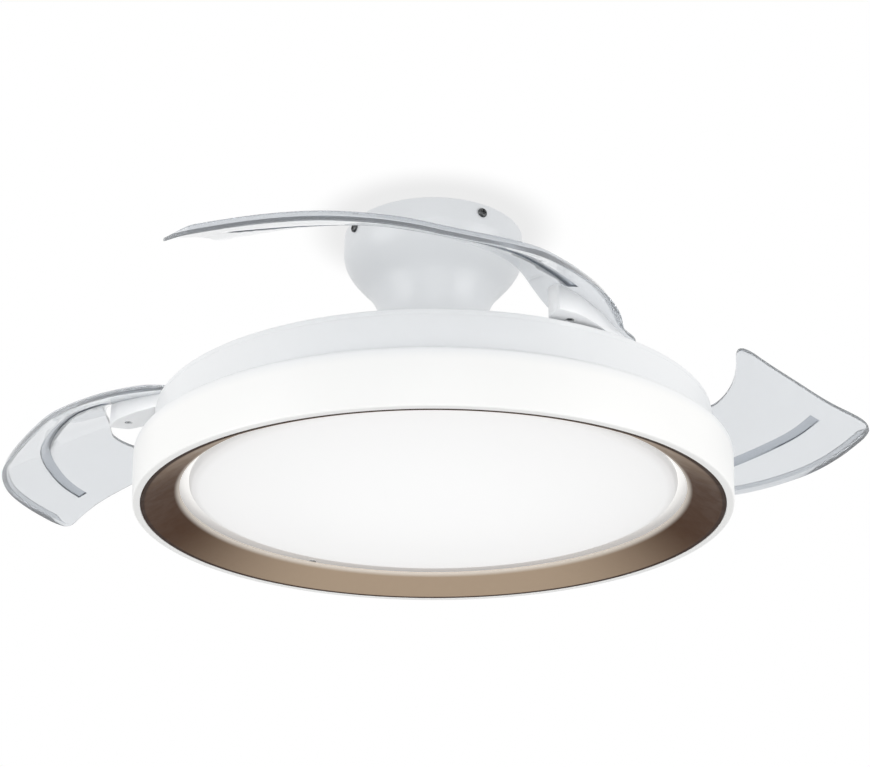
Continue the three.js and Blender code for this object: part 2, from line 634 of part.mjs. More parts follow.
function diffuser() {
  const top = TRAY_HEIGHT - GAP;
  const crown = [[0, 0], [0.5, 0.07], [0.85, 0.21], [0.965, 0.36], [0.99, 0.63], [1, 1]];
  const dish = (inset) => crown.map(([across, up]) => [
    (DIFFUSER_RADIUS - inset) * across, DIFFUSER_FACE + inset + (DIFFUSER_CROWN - inset) * up,
  ]);
  const outer = dish(0);
  const inner = dish(DIFFUSER_WALL).reverse();
  const wallInner = DIFFUSER_RADIUS - DIFFUSER_WALL;
  const flangeInner = wallInner - DIFFUSER_FLANGE;
  const flangeUnder = top - DIFFUSER_FLANGE_THICKNESS;
  const shell = turnedOverRim([
    ...outer, [DIFFUSER_RADIUS, top], [flangeInner, top], [flangeInner, flangeUnder],
    [wallInner, flangeUnder], ...inner,
  ]);
  const lugs = [];
  for (let i = 0; i < LUG_COUNT; i += 1) lugs.push(lug(i));
  return join(shell, ...lugs);
}

function lampTray() {
  const plate = ring(TRAY_BORE, trimOuter - TRIM_SKIN - GAP, zAt(TRAY_HEIGHT), zAt(trayTop), ROUND);
  const slots = [];
  for (let i = 0; i < LUG_COUNT; i += 1) slots.push(...lugSlots(i));
  return cut(plate, ...slots, ledgeScrewHole(0), ledgeScrewHole(1), ledgeScrewHole(2));
}

function lampBoard() {
  const high = TRAY_HEIGHT - GAP;
  const low = high - LAMP_BOARD_THICKNESS;
  const chips = [];
  for (const [radius, count] of LAMP_CHIP_RINGS) {
    for (let i = 0; i < count; i += 1) {
      const chip = block(LAMP_CHIP_SIZE, LAMP_CHIP_SIZE, zAt(low - LAMP_CHIP_HEIGHT), zAt(low + 0.5));
      chips.push(chip.translate(radius, 0, 0).rotateZ((2 * Math.PI * i) / count));
    }
  }
  return join(ring(LAMP_BOARD_INNER, LAMP_BOARD_OUTER, zAt(low), zAt(high), 24), ...chips);
}

function hangerPlate() {
  const low = zAt(hangerBottom);
  const high = zAt(hangerTop);
  const rim = shadeInner - HANGER_PLATE_INSET;
  const holes = [ledgeScrewHole(0), ledgeScrewHole(1), ledgeScrewHole(2)];
  for (let i = 0; i < HANGER_WINDOW_COUNT; i += 1) {
    const window = rod(HANGER_WINDOW_RADIUS, low - THROUGH, high + THROUGH, 12);
    const angle = ((i + 0.5) * 2 * Math.PI) / HANGER_WINDOW_COUNT;
    holes.push(window.translate(HANGER_WINDOW_REACH, 0, 0).rotateZ(angle));
  }
  return cut(ring(shaftSlide, rim, low, high, 24), ...holes);
}

function lampDriver() {
  const [length, width, height] = LAMP_DRIVER;
  const [grooveWidth, grooveDepth] = LAMP_DRIVER_GROOVE;
  const grooves = [];
  for (let i = 0; i < LAMP_DRIVER_GROOVES; i += 1) {
    const place = (i - (LAMP_DRIVER_GROOVES - 1) / 2) * LAMP_DRIVER_GROOVE_PITCH;
    grooves.push(block(grooveWidth, width + 2, height - grooveDepth, height + 1).translate(place, 0, 0));
  }
  return cut(block(length, width, 0, height), ...grooves);
}

function lampParts() {
  add(group, "lamp_shade", shade(), white);
  add(group, "gold_trim_ring", trim(), gold);
  add(group, "diffuser", diffuser(), milk);
  add(group, "lamp_tray", lampTray(), white);
  add(group, "lamp_board", lampBoard(), board);
  add(group, "hanger_plate", hangerPlate(), zinc);
  for (let i = 0; i < 3; i += 1) {
    const length = hangerTop - TRAY_HEIGHT + 2;
    const piece = screw(TRAY_SCREW, length).rotateX(Math.PI).translate(0, 0, zAt(TRAY_HEIGHT - GAP));
    add(group, `tray_screw_${i + 1}`, ledgeScrewPlace(piece, i), steel);
  }
  const driver = lampDriver().rotateZ(Math.PI / 2).translate(HANGER_WINDOW_REACH, 0, zAt(hangerTop + GAP));
  add(group, "lamp_driver", driver.rotateZ(radians(LAMP_DRIVER_ANGLE)), casing);
}

// ---------------------------------------------------------------- motor

const rotor = new THREE.Group();
group.add(rotor);

const flangeLow = MOTOR_FLOOR + MOTOR_WALL + GAP;
const flangeRadius = MOTOR_RADIUS + MOTOR_FLANGE;
const lipRadius = (SHAFT_RADIUS + BEARING_RADIUS) / 2 + 1.4;

function discScrewPlace(geometry, i) {
  return geometry.translate(DISC_SCREW_REACH, 0, 0).rotateZ(radians(120 * i + DISC_SCREW_ANGLE));
}

function discScrewHole(i) {
  return discScrewPlace(drill(SMALL_SCREW[0] + GAP, zAt(motorTop - THROUGH), zAt(discTop + THROUGH)), i);
}

function coverScrewPlace(geometry, i) {
  return geometry.translate(MOTOR_RADIUS + MOTOR_FLANGE / 2, 0, 0).rotateZ(radians(120 * i));
}

function coverScrewHole(i) {
  const hole = drill(SMALL_SCREW[0] + GAP, zAt(MOTOR_FLOOR - THROUGH), zAt(flangeLow + THROUGH));
  return coverScrewPlace(hole, i);
}

function motorShell() {
  const inner = MOTOR_RADIUS - MOTOR_WALL;
  const roofLow = motorTop - MOTOR_ROOF;
  const seatTop = motorTop - BEARING_LIP;
  const bossLow = upperBearing;
  const body = turnedOverRim([
    [lipRadius, motorTop], [MOTOR_RADIUS, motorTop], [MOTOR_RADIUS, flangeLow + MOTOR_WALL],
    [flangeRadius, flangeLow + MOTOR_WALL], [flangeRadius, flangeLow], [inner, flangeLow], [inner, roofLow],
    [bearingBoss, roofLow], [bearingBoss, bossLow], [bearingSeat, bossLow], [bearingSeat, seatTop],
    [lipRadius, seatTop],
  ], 24);
  const holes = [];
  for (let i = 0; i < 3; i += 1) holes.push(discScrewHole(i), coverScrewHole(i));
  return cut(body, ...holes);
}

function motorCover() {
  const low = MOTOR_FLOOR;
  const high = low + MOTOR_WALL;
  const bossTop = lowerBearing + BEARING_WIDTH;
  const seatLow = low + BEARING_LIP;
  const body = turnedOverRim([
    [lipRadius, low], [flangeRadius, low], [flangeRadius, high], [bearingBoss, high], [bearingBoss, bossTop],
    [bearingSeat, bossTop], [bearingSeat, seatLow], [lipRadius, seatLow],
  ], 24);
  return cut(body, coverScrewHole(0), coverScrewHole(1), coverScrewHole(2));
}

function statorCore(outer, low, high) {
  const shoeMiddle = outer - TOOTH_SHOE_DEPTH / 2;
  const spread = radians(180 / STATOR_TEETH - SLOT_MOUTH / 2);
  const stemStart = STATOR_HUB_RADIUS - TOOTH_SHOE_DEPTH;
  const shoe = new THREE.Shape();
  shoe.absarc(0, 0, outer, -spread, spread, false);
  shoe.absarc(0, 0, outer - TOOTH_SHOE_DEPTH, spread, -spread, true);
  const teeth = [];
  for (let i = 0; i < STATOR_TEETH; i += 1) {
    const turn = (2 * Math.PI * i) / STATOR_TEETH;
    const stem = block(shoeMiddle - stemStart, TOOTH_WIDTH, low, high);
    stem.translate((shoeMiddle + stemStart) / 2, 0, 0);
    teeth.push(stem.rotateZ(turn), slab(shoe, low, high, 2).rotateZ(turn));
  }
  return join(ring(SHOULDER_RADIUS + GAP, STATOR_HUB_RADIUS, low, high, 18), ...teeth);
}

// One coil round each tooth, and a ring of crossover wire above the hub that links them.
function statorWinding(outer, low, high) {
  const overhang = COIL_THICKNESS + GAP;
  const inner = STATOR_HUB_RADIUS + COIL_CLEARANCE;
  const length = outer - COIL_CLEARANCE - inner;
  const width = TOOTH_WIDTH + 2 * GAP;
  const coils = [];
  for (let i = 0; i < STATOR_TEETH; i += 1) {
    const outside = block(length, width + 2 * COIL_THICKNESS, low - overhang, high + overhang);
    const inside = block(length + THROUGH, width, low - GAP, high + GAP);
    const coil = cut(outside, inside).translate(inner + length / 2, 0, 0);
    coils.push(coil.rotateZ((2 * Math.PI * i) / STATOR_TEETH));
  }
  const half = CROSSOVER_HALF_WIDTH;
  return join(ring(inner - half, inner + half, high + GAP, high + overhang, 18), ...coils);
}

function bearing(place, low) {
  const high = low + BEARING_WIDTH;
  const middle = (shaftSlide + BEARING_RADIUS) / 2;
  const innerRing = ring(shaftSlide, middle - GAP / 2, zAt(low), zAt(high));
  const outerRing = ring(middle + GAP / 2, BEARING_RADIUS, zAt(low), zAt(high));
  add(group, `${place}_bearing_inner_ring`, innerRing, steel);
  add(rotor, `${place}_bearing_outer_ring`, outerRing, steel);
}

function motorParts() {
  add(rotor, "motor_shell", motorShell(), alloy);
  add(rotor, "motor_cover", motorCover(), alloy);
  const magnetOuter = MOTOR_RADIUS - MOTOR_WALL - GAP;
  const magnetInner = magnetOuter - MAGNET_THICKNESS;
  const middle = (MOTOR_FLOOR + MOTOR_WALL + motorTop - MOTOR_ROOF) / 2;
  const low = zAt(middle - STATOR_HEIGHT / 2);
  const high = zAt(middle + STATOR_HEIGHT / 2);
  const magnets = ring(magnetInner, magnetOuter, low - MAGNET_OVERHANG, high + MAGNET_OVERHANG, 24);
  add(rotor, "magnet_ring", magnets, ferrite);
  const statorOuter = magnetInner - AIR_GAP;
  add(group, "stator_core", statorCore(statorOuter, low, high), steel);
  add(group, "stator_winding", statorWinding(statorOuter, low, high), copper);
  bearing("upper", upperBearing);
  bearing("lower", lowerBearing);
  for (let i = 0; i < 3; i += 1) {
    const seat = zAt(MOTOR_FLOOR - GAP);
    const piece = screw(SMALL_SCREW, COVER_SCREW_LENGTH).rotateX(Math.PI).translate(0, 0, seat);
    add(rotor, `motor_cover_screw_${i + 1}`, coverScrewPlace(piece, i), steel);
  }
}

// ---------------------------------------------------------------- blade disc and hinges

function pivotAngle(k) {
  return radians(FIRST_PIVOT_ANGLE + (360 / BLADE_COUNT) * k);
}

function pivotPlace(geometry, k) {
  return geometry.translate(pivotRadius, 0, 0).rotateZ(pivotAngle(k));
}

// Heading of a blade's chord, from the line out to its hinge, when it is swung open by `swing` degrees.
function headingFromPivot(swing) {
  return radians(FOLDED_HEADING - FIRST_PIVOT_ANGLE + swing);
}

// Curved slot for the limit peg; its ends stop the blade folded and fully open.
function limitSlot(k) {
  const halfWidth = LIMIT_PEG_RADIUS + GAP;
  const start = headingFromPivot(0) + radians(LIMIT_PEG_BEARING);
  const end = start + radians(FULL_SWING);
  const [startX, startY] = [LIMIT_PEG_REACH * Math.cos(start), LIMIT_PEG_REACH * Math.sin(start)];
  const [endX, endY] = [LIMIT_PEG_REACH * Math.cos(end), LIMIT_PEG_REACH * Math.sin(end)];
  const shape = new THREE.Shape();
  shape.absarc(0, 0, LIMIT_PEG_REACH + halfWidth, start, end, false);
  shape.absarc(endX, endY, halfWidth, end, end + Math.PI, false);
  shape.absarc(0, 0, LIMIT_PEG_REACH - halfWidth, end, start, true);
  shape.absarc(startX, startY, halfWidth, start + Math.PI, start + 2 * Math.PI, false);
  return pivotPlace(slab(shape, zAt(discBottom - THROUGH), zAt(discTop + THROUGH), 5), k);
}

function bladeDisc() {
  const low = zAt(discBottom);
  const high = zAt(discTop);
  const inner = bearingBoss + 2;
  const [lowerBevel, upperBevel] = [0.8, 1.2];
  const plate = turned([
    [inner, low], [discRadius - lowerBevel, low], [discRadius, low + lowerBevel],
    [discRadius, high - upperBevel], [discRadius - upperBevel, high], [inner, high],
  ], ROUND);
  const bosses = [];
  const holes = [];
  for (let k = 0; k < BLADE_COUNT; k += 1) {
    bosses.push(pivotPlace(rod(HINGE_BOSS_RADIUS, low + 1, zAt(armBottom - GAP)), k));
    holes.push(pivotPlace(rod(HINGE_PIN_RADIUS + GAP, low - THROUGH, high + THROUGH), k), limitSlot(k));
  }
  for (let i = 0; i < 3; i += 1) holes.push(discScrewHole(i));
  return cut(join(plate, ...bosses), ...holes);
}

function hingePin() {
  const headTop = discBottom - GAP;
  const headLow = headTop - HINGE_HEAD_HEIGHT;
  const top = rootHeight + BLADE_SHEET + HINGE_PIN_END;
  return turnedOverRim([
    [0, headLow], [HINGE_HEAD_RADIUS, headLow], [HINGE_HEAD_RADIUS, headTop], [HINGE_PIN_RADIUS, headTop],
    [HINGE_PIN_RADIUS, top - 1], [HINGE_PIN_RADIUS - 1, top], [0, top],
  ], SMALL_ROUND);
}

function discParts() {
  add(rotor, "blade_disc", bladeDisc(), white);
  for (let i = 0; i < 3; i += 1) {
    const piece = screw(SMALL_SCREW, DISC_SCREW_LENGTH).translate(0, 0, zAt(discTop + GAP));
    add(rotor, `disc_screw_${i + 1}`, discScrewPlace(piece, i), steel);
  }
  for (let k = 0; k < BLADE_COUNT; k += 1) {
    add(rotor, `hinge_pin_${k + 1}`, pivotPlace(hingePin(), k), steel);
  }
}

// ---------------------------------------------------------------- blades
// Blade outlines lie in the blade's own plan frame, in millimetres for a chord of OUTLINE_CHORD:
// x runs from the hinge to the tip, and +y towards the outer edge.

const OUTLINE_CHORD = 379;
const planScale = BLADE_CHORD / OUTLINE_CHORD;

// Smooth curve through [x, y] points, at x.
function along(points, x) {
  const last = points.length - 1;
  if (x <= points[0][0]) return points[0][1];
  if (x >= points[last][0]) return points[last][1];
  const slope = ([x0, y0], [x1, y1]) => (y1 - y0) / (x1 - x0);
  const i = points.findIndex(([px]) => px > x) - 1;
  const [x0, y0] = points[i];
  const [x1, y1] = points[i + 1];
  const chord = slope(points[i], points[i + 1]);
  const startSlope = i > 0 ? (slope(points[i - 1], points[i]) + chord) / 2 : chord;
  const endSlope = i < last - 1 ? (chord + slope(points[i + 1], points[i + 2])) / 2 : chord;
  const t = (x - x0) / (x1 - x0);
  const bend = (x1 - x0) * (startSlope * t * (1 - t) ** 2 - endSlope * t * t * (1 - t));
  return y0 * (1 + 2 * t) * (1 - t) ** 2 + y1 * (3 - 2 * t) * t * t + bend;
}

// Outer edge, and the edge on the other side: root, hollow inner edge, hook, and end edge to the tip.
const outerEdge = [
  [-20, 8], [-12, 17], [2, 24], [28, 51], [58, 73], [88, 87], [120, 96], [152, 102], [182, 106.5],
  [212, 108.5], [243, 105.5], [272, 97], [302, 82.5], [332, 59], [358, 32], [371, 16], [377, 5],
];
const innerEdge = [
  [-20, -8], [-12, -16], [5, -20], [22, -9], [42, 0], [65, 6], [86, 18], [108, 33], [132, 40], [156, 36],
  [175, 30], [193, 22], [213, 14], [241, 1], [267, -29], [280, -54], [286, -70], [294, -79], [302, -77],
  [311, -66], [323, -51], [332, -40], [342, -28], [351, -19], [363, -11], [373, -5], [377, -3],
];

const outerY = (x) => along(outerEdge, x / planScale) * planScale;
const innerY = (x) => along(innerEdge, x / planScale) * planScale;

// Height of the blade's underside.
function bladeHeight(x, y) {
  const u = x / planScale;
  const edge = bladeLow + BLADE_ROOT_RISE * smooth((225 - u) / 110);
  const pitch = BLADE_PITCH * smooth((u + 20) / 200) - (BLADE_PITCH - TIP_PITCH) * smooth((u - 200) / 120);
  return edge + pitch * (outerY(x) - y);
}

function grooveY(x) {
  const u = x / planScale;
  return outerY(x) - (23 + 37 * smooth((u - 130) / 230)) * planScale;
}

const BLADE_STATIONS = [
  -20, -16, -9, 5, 20, 42, 60, 76, 78, 110, 140, 156, 172, 200, 226, 249, 272, 284, 290, 296, 304, 314,
  329, 331, 350, 364, 374, 377,
];
const GROOVE_FROM = 77;
const GROOVE_TO = 330;

// One cross-section: underside and its groove from the outer edge inward, top face back, then the lip.
function bladeSection(u) {
  const x = u * planScale;
  const outer = outerY(x);
  const inner = innerY(x);
  const width = outer - inner;
  const lip = Math.min(BLADE_LIP_WIDTH, width * 0.3);
  const lipRise = BLADE_LIP_HEIGHT * smooth((u + 4) / 30) * smooth((379 - u) / 12);
  const inGroove = u > GROOVE_FROM && u < GROOVE_TO;
  const depth = inGroove ? GROOVE_DEPTH : 0;
  const centre = THREE.MathUtils.clamp(grooveY(x), inner + width * 0.25, outer - width * 0.15);
  const half = Math.min(GROOVE_WIDTH / 2, width * 0.1);
  const inwards = (share) => THREE.MathUtils.lerp(centre - half, inner, share);
  const outwards = (share) => THREE.MathUtils.lerp(inner, centre, share);
  const floor = half - 0.2;
  const under = [
    outer, centre + half, centre + floor, centre - floor, centre - half, inwards(0.35), inwards(0.7), inner,
  ];
  const points = under.map((y, i) => [y, bladeHeight(x, y) + (i === 2 || i === 3 ? depth : 0)]);
  const over = [inner, outwards(0.35), outwards(0.75), outer - lip];
  points.push(...over.map((y) => [y, bladeHeight(x, y) + BLADE_SHEET]));
  const fullLean = THREE.MathUtils.lerp(BLADE_LIP_LEAN, ROOT_LIP_LEAN, smooth((150 - u) / 80));
  const lean = Math.min(fullLean * lipRise / BLADE_LIP_HEIGHT, width * 0.15);
  const crest = bladeHeight(x, outer) + BLADE_SHEET + lipRise;
  const lipFoot = bladeHeight(x, outer - lip) + BLADE_SHEET + 0.05;
  points.push([outer - lean - lip * 0.9, Math.max(crest, lipFoot + lean)], [outer - lean, crest]);
  return points.map(([y, z]) => [x, y, zAt(z)]);
}

// Middle point of a section.
function middleOf(section) {
  return [0, 1, 2].map((axis) => section.reduce((sum, point) => sum + point[axis], 0) / section.length);
}

// Solid between matching closed sections, with a fan of triangles over each end.
function loft(sections) {
  const count = sections[0].length;
  const first = sections[0];
  const last = sections.at(-1);
  const triangles = [];
  for (let j = 0; j < count; j += 1) {
    const next = (j + 1) % count;
    triangles.push(first[next], first[j], middleOf(first), last[j], last[next], middleOf(last));
    for (let i = 0; i < sections.length - 1; i += 1) {
      const [a, b] = [sections[i][j], sections[i][next]];
      const [c, d] = [sections[i + 1][next], sections[i + 1][j]];
      triangles.push(a, b, c, a, c, d);
    }
  }
  const geometry = new THREE.BufferGeometry();
  geometry.setAttribute("position", new THREE.Float32BufferAttribute(triangles.flat(), 3));
  return geometry;
}

function armScrewPlace(geometry, i) {
  const [x, y] = ARM_SCREWS[i];
  return geometry.translate(x, y, 0);
}

function blade() {
  const low = zAt(armBottom);
  const high = zAt(rootHeight + THROUGH);
  const holes = [rod(HINGE_PIN_RADIUS + RUNNING_GAP, low, high)];
  for (let i = 0; i < ARM_SCREWS.length; i += 1) {
    holes.push(armScrewPlace(drill(SMALL_SCREW[0] + GAP, low, high), i));
  }
  return cut(loft(BLADE_STATIONS.map(bladeSection)), ...holes);
}

// Everything above the blade's underside over the arm, less the seating gap.
function spaceOverArm() {
  const armEnd = 121;
  const [near, far] = [-60, 110];
  const stations = BLADE_STATIONS.filter((u) => u <= armEnd);
  const sections = [2 * BLADE_STATIONS[0], ...stations].map((u) => {
    const x = u * planScale;
    const seat = (y) => zAt(bladeHeight(x, y) - GAP);
    return [[x, near, seat(near)], [x, far, seat(far)], [x, far, 0], [x, near, 0]];
  });
  return loft(sections);
}

function armShape() {
  const shape = new THREE.Shape();
  shape.absarc(0, 0, ARM_BOSS_RADIUS, radians(125), radians(300), false);
  const corners = [[40, 4], [64, 22], [84, 35], [87, 53], [66, 53], [42, 44], [14, 28]];
  for (const [x, y] of corners) shape.lineTo(x, y);
  return shape;
}

function bladeArm() {
  const low = zAt(armBottom);
  const high = zAt(rootHeight + THROUGH);
  const pegBearing = radians(LIMIT_PEG_BEARING);
  const peg = rod(LIMIT_PEG_RADIUS, zAt(discBottom + GAP), low + 1, 10)
    .translate(LIMIT_PEG_REACH * Math.cos(pegBearing), LIMIT_PEG_REACH * Math.sin(pegBearing), 0);
  const pocketHalf = SPRING_WIRE_RADIUS + POCKET_CLEARANCE;
  const cuts = [
    spaceOverArm(),
    rod(HINGE_PIN_RADIUS + GAP, low - THROUGH, high + THROUGH),
    ring(springRadius - pocketHalf, springRadius + pocketHalf, low - THROUGH, low + SPRING_ROOM),
  ];
  for (let i = 0; i < ARM_SCREWS.length; i += 1) {
    cuts.push(armScrewPlace(drill(SMALL_SCREW[0] + GAP, low - THROUGH, high), i));
    cuts.push(armScrewPlace(drill(SMALL_SCREW[1] + GAP, low - THROUGH, low + COUNTERBORE_DEPTH), i));
  }
  return join(cut(slab(armShape(), low, high, 5), ...cuts), peg);
}

function armScrew(i) {
  const [x, y] = ARM_SCREWS[i];
  const seat = armBottom + COUNTERBORE_DEPTH - GAP;
  const tip = bladeHeight(x, y) + BLADE_SHEET - ARM_SCREW_SHORTFALL;
  return armScrewPlace(screw(SMALL_SCREW, tip - seat).rotateX(Math.PI).translate(0, 0, zAt(seat)), i);
}

// Torsion spring round the hinge boss.
class Helix extends THREE.Curve {
  getPoint(t) {
    const turn = 2 * Math.PI * SPRING_TURNS * t;
    const low = zAt(discTop + GAP + SPRING_WIRE_RADIUS);
    return new THREE.Vector3(
      springRadius * Math.cos(turn), springRadius * Math.sin(turn), low + SPRING_PITCH * SPRING_TURNS * t,
    );
  }
}

function returnSpring() {
  const section = new THREE.Shape();
  section.absarc(0, 0, SPRING_WIRE_RADIUS, 0, 2 * Math.PI);
  return new THREE.ExtrudeGeometry(section, {
    steps: 10 * SPRING_TURNS,
    bevelEnabled: false,
    extrudePath: new Helix(),
    curveSegments: 3,
  });
}

function bladeParts() {
  for (let k = 0; k < BLADE_COUNT; k += 1) {
    const label = k + 1;
    const angle = pivotAngle(k);
    const swing = new THREE.Group();
    swing.position.set(pivotRadius * Math.cos(angle), pivotRadius * Math.sin(angle), 0);
    swing.rotation.z = angle + headingFromPivot(PHOTO_SWING[k]);
    rotor.add(swing);
    add(swing, `blade_${label}`, blade(), clear);
    add(swing, `blade_arm_${label}`, bladeArm(), smoke);
    add(swing, `return_spring_${label}`, returnSpring(), steel);
    for (let i = 0; i < ARM_SCREWS.length; i += 1) {
      add(swing, `blade_screw_${label}_${i + 1}`, armScrew(i), steel);
    }
  }
}

// ---------------------------------------------------------------- assembly

ceilingParts();
shaftParts();
lampParts();
motorParts();
discParts();
bladeParts();

export default group;
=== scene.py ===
"""Ceiling fan with lamp and three folding clear blades, seen from below.

Metres in the scene, with +Z up and the ceiling at z = 0. Shapes are written in millimetres, and heights
named "over the rim" are measured up from the lamp's lower rim.
"""
import json
import math

import bmesh
import bpy
import numpy as np
from mathutils import Matrix, Vector
from mathutils.geometry import delaunay_2d_cdt


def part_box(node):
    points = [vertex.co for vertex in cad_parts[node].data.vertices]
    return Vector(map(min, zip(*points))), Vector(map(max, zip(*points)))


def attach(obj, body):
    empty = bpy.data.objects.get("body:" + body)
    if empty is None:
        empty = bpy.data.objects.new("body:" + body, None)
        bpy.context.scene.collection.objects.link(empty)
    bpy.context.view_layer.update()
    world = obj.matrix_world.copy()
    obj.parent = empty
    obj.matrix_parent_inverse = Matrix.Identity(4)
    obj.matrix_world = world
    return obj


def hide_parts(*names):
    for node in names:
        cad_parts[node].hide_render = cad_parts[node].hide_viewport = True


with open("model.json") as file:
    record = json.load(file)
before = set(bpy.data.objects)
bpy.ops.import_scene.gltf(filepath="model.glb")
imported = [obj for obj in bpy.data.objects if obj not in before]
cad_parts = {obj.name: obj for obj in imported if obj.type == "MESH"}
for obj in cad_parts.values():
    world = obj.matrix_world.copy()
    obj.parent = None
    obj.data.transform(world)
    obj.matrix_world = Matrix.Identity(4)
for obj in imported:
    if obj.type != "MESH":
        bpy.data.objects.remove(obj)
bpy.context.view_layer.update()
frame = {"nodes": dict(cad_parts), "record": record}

MM = 0.001


# ---------------------------------------------------------------- sizes, in millimetres

def box_mm(node):
    """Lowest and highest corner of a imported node, in millimetres."""
    low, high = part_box(node)
    return [value / MM for value in low], [value / MM for value in high]


SHADE_LOW, SHADE_HIGH = box_mm("lamp_shade")
CANOPY_LOW, CANOPY_HIGH = box_mm("canopy")
_, DISC_HIGH = box_mm("blade_disc")

RIM_Z = SHADE_LOW[2]
BODY_RADIUS = SHADE_HIGH[0]
SHADE_TOP = SHADE_HIGH[2] - RIM_Z
TIER_RADIUS = DISC_HIGH[0]
CANOPY_RADIUS = CANOPY_HIGH[0]
CANOPY_TOP_Z = CANOPY_HIGH[2]
CANOPY_LOW_Z = CANOPY_LOW[2]

GAP = 0.3                   # clearance between pieces that meet
RUNNING_GAP = 0.8           # clearance between pieces that turn past each other

SHADE_WALL = 3
SHADE_FLARE = 1.9           # the wall widens by this much from rim to waist
SHADE_WAIST = 39            # where the lower tier's wall rounds over, over the rim
CORNER_RADIUS = 8
SHOULDER_SHADE_START = SHADE_WAIST - 4    # painted shade darkens the lower tier's white from here up, over its rounded shoulder, into the upper tier's greyer tone
LIP_WIDTH = 6.5
LIP_HEIGHT = 4
ROOF_DROP = 6.5             # the roof lies this far under the drum's top edge
ROOF_RING = 6               # width of the ring that stands round the roof
ROOF_INNER = 84             # radius of the opening in the roof
LEDGE = (28.5, 33.7, 24)    # underside and top over the rim, and width

TRIM_OUTER = 246.7
TRIM_INNER = 215.5
TRIM_BORDER = 4.2           # nearly flat edge outside the cone
TRIM_SHEET = 2
TRIM_LOW = (0.35, 0.8)      # outer and inner edge of the border over the rim
CONE_BACK = 3.9             # lowest point of the cone's back over the rim
TRIM_TOP = 28.2
TRIM_FLANGE = (4.3, 6.3)    # underside and top over the rim
CONE_TOP = 18.5

DIFFUSER_RADIUS = 208
DIFFUSER_FACE = 13.5        # its lowest point over the rim
DIFFUSER_RISE = 9.5         # from there to the top of its rounded side
DIFFUSER_TOP = 25.7
DIFFUSER_WALL = 2.2
DIFFUSER_FLANGE = (4, 1.8)  # width and thickness

NECK_RADIUS = 46
CANOPY_BAND = 20
CANOPY_TAPER = 64
CANOPY_WALL = 2.5
CANOPY_LIP = 0.7            # rounding of the canopy's two ends

SCREW_COUNT = 4
SCREW_ANGLE = -58.5
SCREW_DROP = 10             # its axis lies this far under the ceiling
SCREW_HEAD = (4.3, 2.6)     # radius, height
SCREW_SHANK = (2, 9)        # radius, length
SCREW_CHAMFER = 1.4
SCREW_SLOT = (1.1, 5.6, 1.3)    # width, length, depth
SCREW_TURN = 35             # each screw is turned this much further than the one before

BLADE_COUNT = 3
DISC_BOTTOM = SHADE_TOP + RUNNING_GAP
DISC_THICKNESS = 4
DISC_TOP = DISC_BOTTOM + DISC_THICKNESS
DISC_BORE = 22.3
SKIRT_WIDTH = 5             # a skirt under the disc's edge hides most of the running gap
SKIRT_INSET = 0.2
SKIRT_GAP = 0.12
PIVOT_INSET = 52.9          # the hinges lie this far inside the drum's wall
PIVOT_RADIUS = BODY_RADIUS - PIVOT_INSET
FIRST_PIVOT_ANGLE = -46
FOLDED_HEADING = 171.9      # the way that the first blade points when it is folded in
PHOTO_SWING = (38.4, 37.8, 66.6)    # degrees that each blade is swung out
FULL_SWING = 93
PEG_REACH = 23
PEG_BEARING = 22
PEG_RADIUS = 2.5
PEG_GAP = 0.05              # the peg ends this far under the arm
BOSS_RADIUS = 9
BOSS_SINK = 0.6             # the boss is set this deep in the disc
PIN_RADIUS = 5
PIN_HEAD = (9, 3)           # radius, height
PIN_PROUD = 2               # the pin stands this much over the blade

BLADE_LIFT = 1.6            # the blade's outer edge lies this far over the disc
BLADE_LOW = DISC_TOP + BLADE_LIFT
ROOT_RISE = 11.8            # and this much higher at its root
ROOT_HEIGHT = BLADE_LOW + ROOT_RISE
BLADE_SHEET = 3
BLADE_PITCH = 0.56          # rise per millimetre inward across the middle of the blade
TIP_PITCH = 0.36            # and near its tip
BLADE_LIP_RISE = 6
BLADE_LIP_WIDTH = 3
BLADE_LIP_LEAN = 2          # the upstand leans this far inward
ROOT_LIP_LEAN = 5           # and this far near the root
BLADE_START = -20
BLADE_TIP = 377
GROOVE_WIDTH = 9
GROOVE_DEPTH = 1.2
GROOVE_FROM = 77
GROOVE_TO = 330
GROOVE_INSET = 23           # the groove's middle lies this far from the outer edge
GROOVE_DRIFT = 37           # and this much further near the tip

# Stretches along the blade where something changes smoothly, as (none of it, all of it).
ROOT_CLIMB = (225, 115)
PITCH_GROWS = (BLADE_START, 180)
PITCH_EASES = (200, 320)
LIP_STARTS = (-4, 26)
LIP_ENDS = (BLADE_TIP + 2, BLADE_TIP - 12)
LEAN_GROWS = (150, 70)
GROOVE_DRIFTS = (130, 360)

OUTLINE_STEP = 2.5          # distance between the points of the blade's outline
OUTLINE_ROUNDING = 4        # rounds of smoothing of the outline's corners
# Painted shade on the blade: a greyer colour in the groove and, less of it, on the upstand, where the real
# walls are shaded.
GROOVE_PAINTED_SHADE = 1
LIP_PAINTED_SHADE = 0.35
LIP_FOOT = 0.8              # faces more than this over the sheet belong to the upstand

ARM_THICKNESS = 11
ARM_BOTTOM = ROOT_HEIGHT - GAP - ARM_THICKNESS
ARM_BOSS_RADIUS = 17
ARM_SCREWS = ((34, 20), (68, 41))
ARM_SCREW_HOLE = 1.8
ARM_SCREW_RECESS = (3.3, 2.6)       # radius, depth
SPRING_PLACE = (11.3, 1.3, 6.2)     # radius of the spring's pocket, half its width, and its depth
ARM_OUTLINE_STEP = 2

CUT_PAST = 2                # a cutter reaches this far past the surface that it starts from
HOLE_TOP = ROOT_HEIGHT + 40     # over the blade at every hole of the root

ROUND = 144                 # segments round a large ring
SMALL_ROUND = 48
TINY_ROUND = 32
HOLE_ROUND = 24
SHARP_ANGLE = math.radians(32)


def z_at(height):
    return RIM_Z + height


def ramp(x, start, end):
    """Smooth share from 0 at the start to 1 at the end; the end may be the lower number."""
    t = min(max((x - start) / (end - start), 0), 1)
    return t * t * (3 - 2 * t)


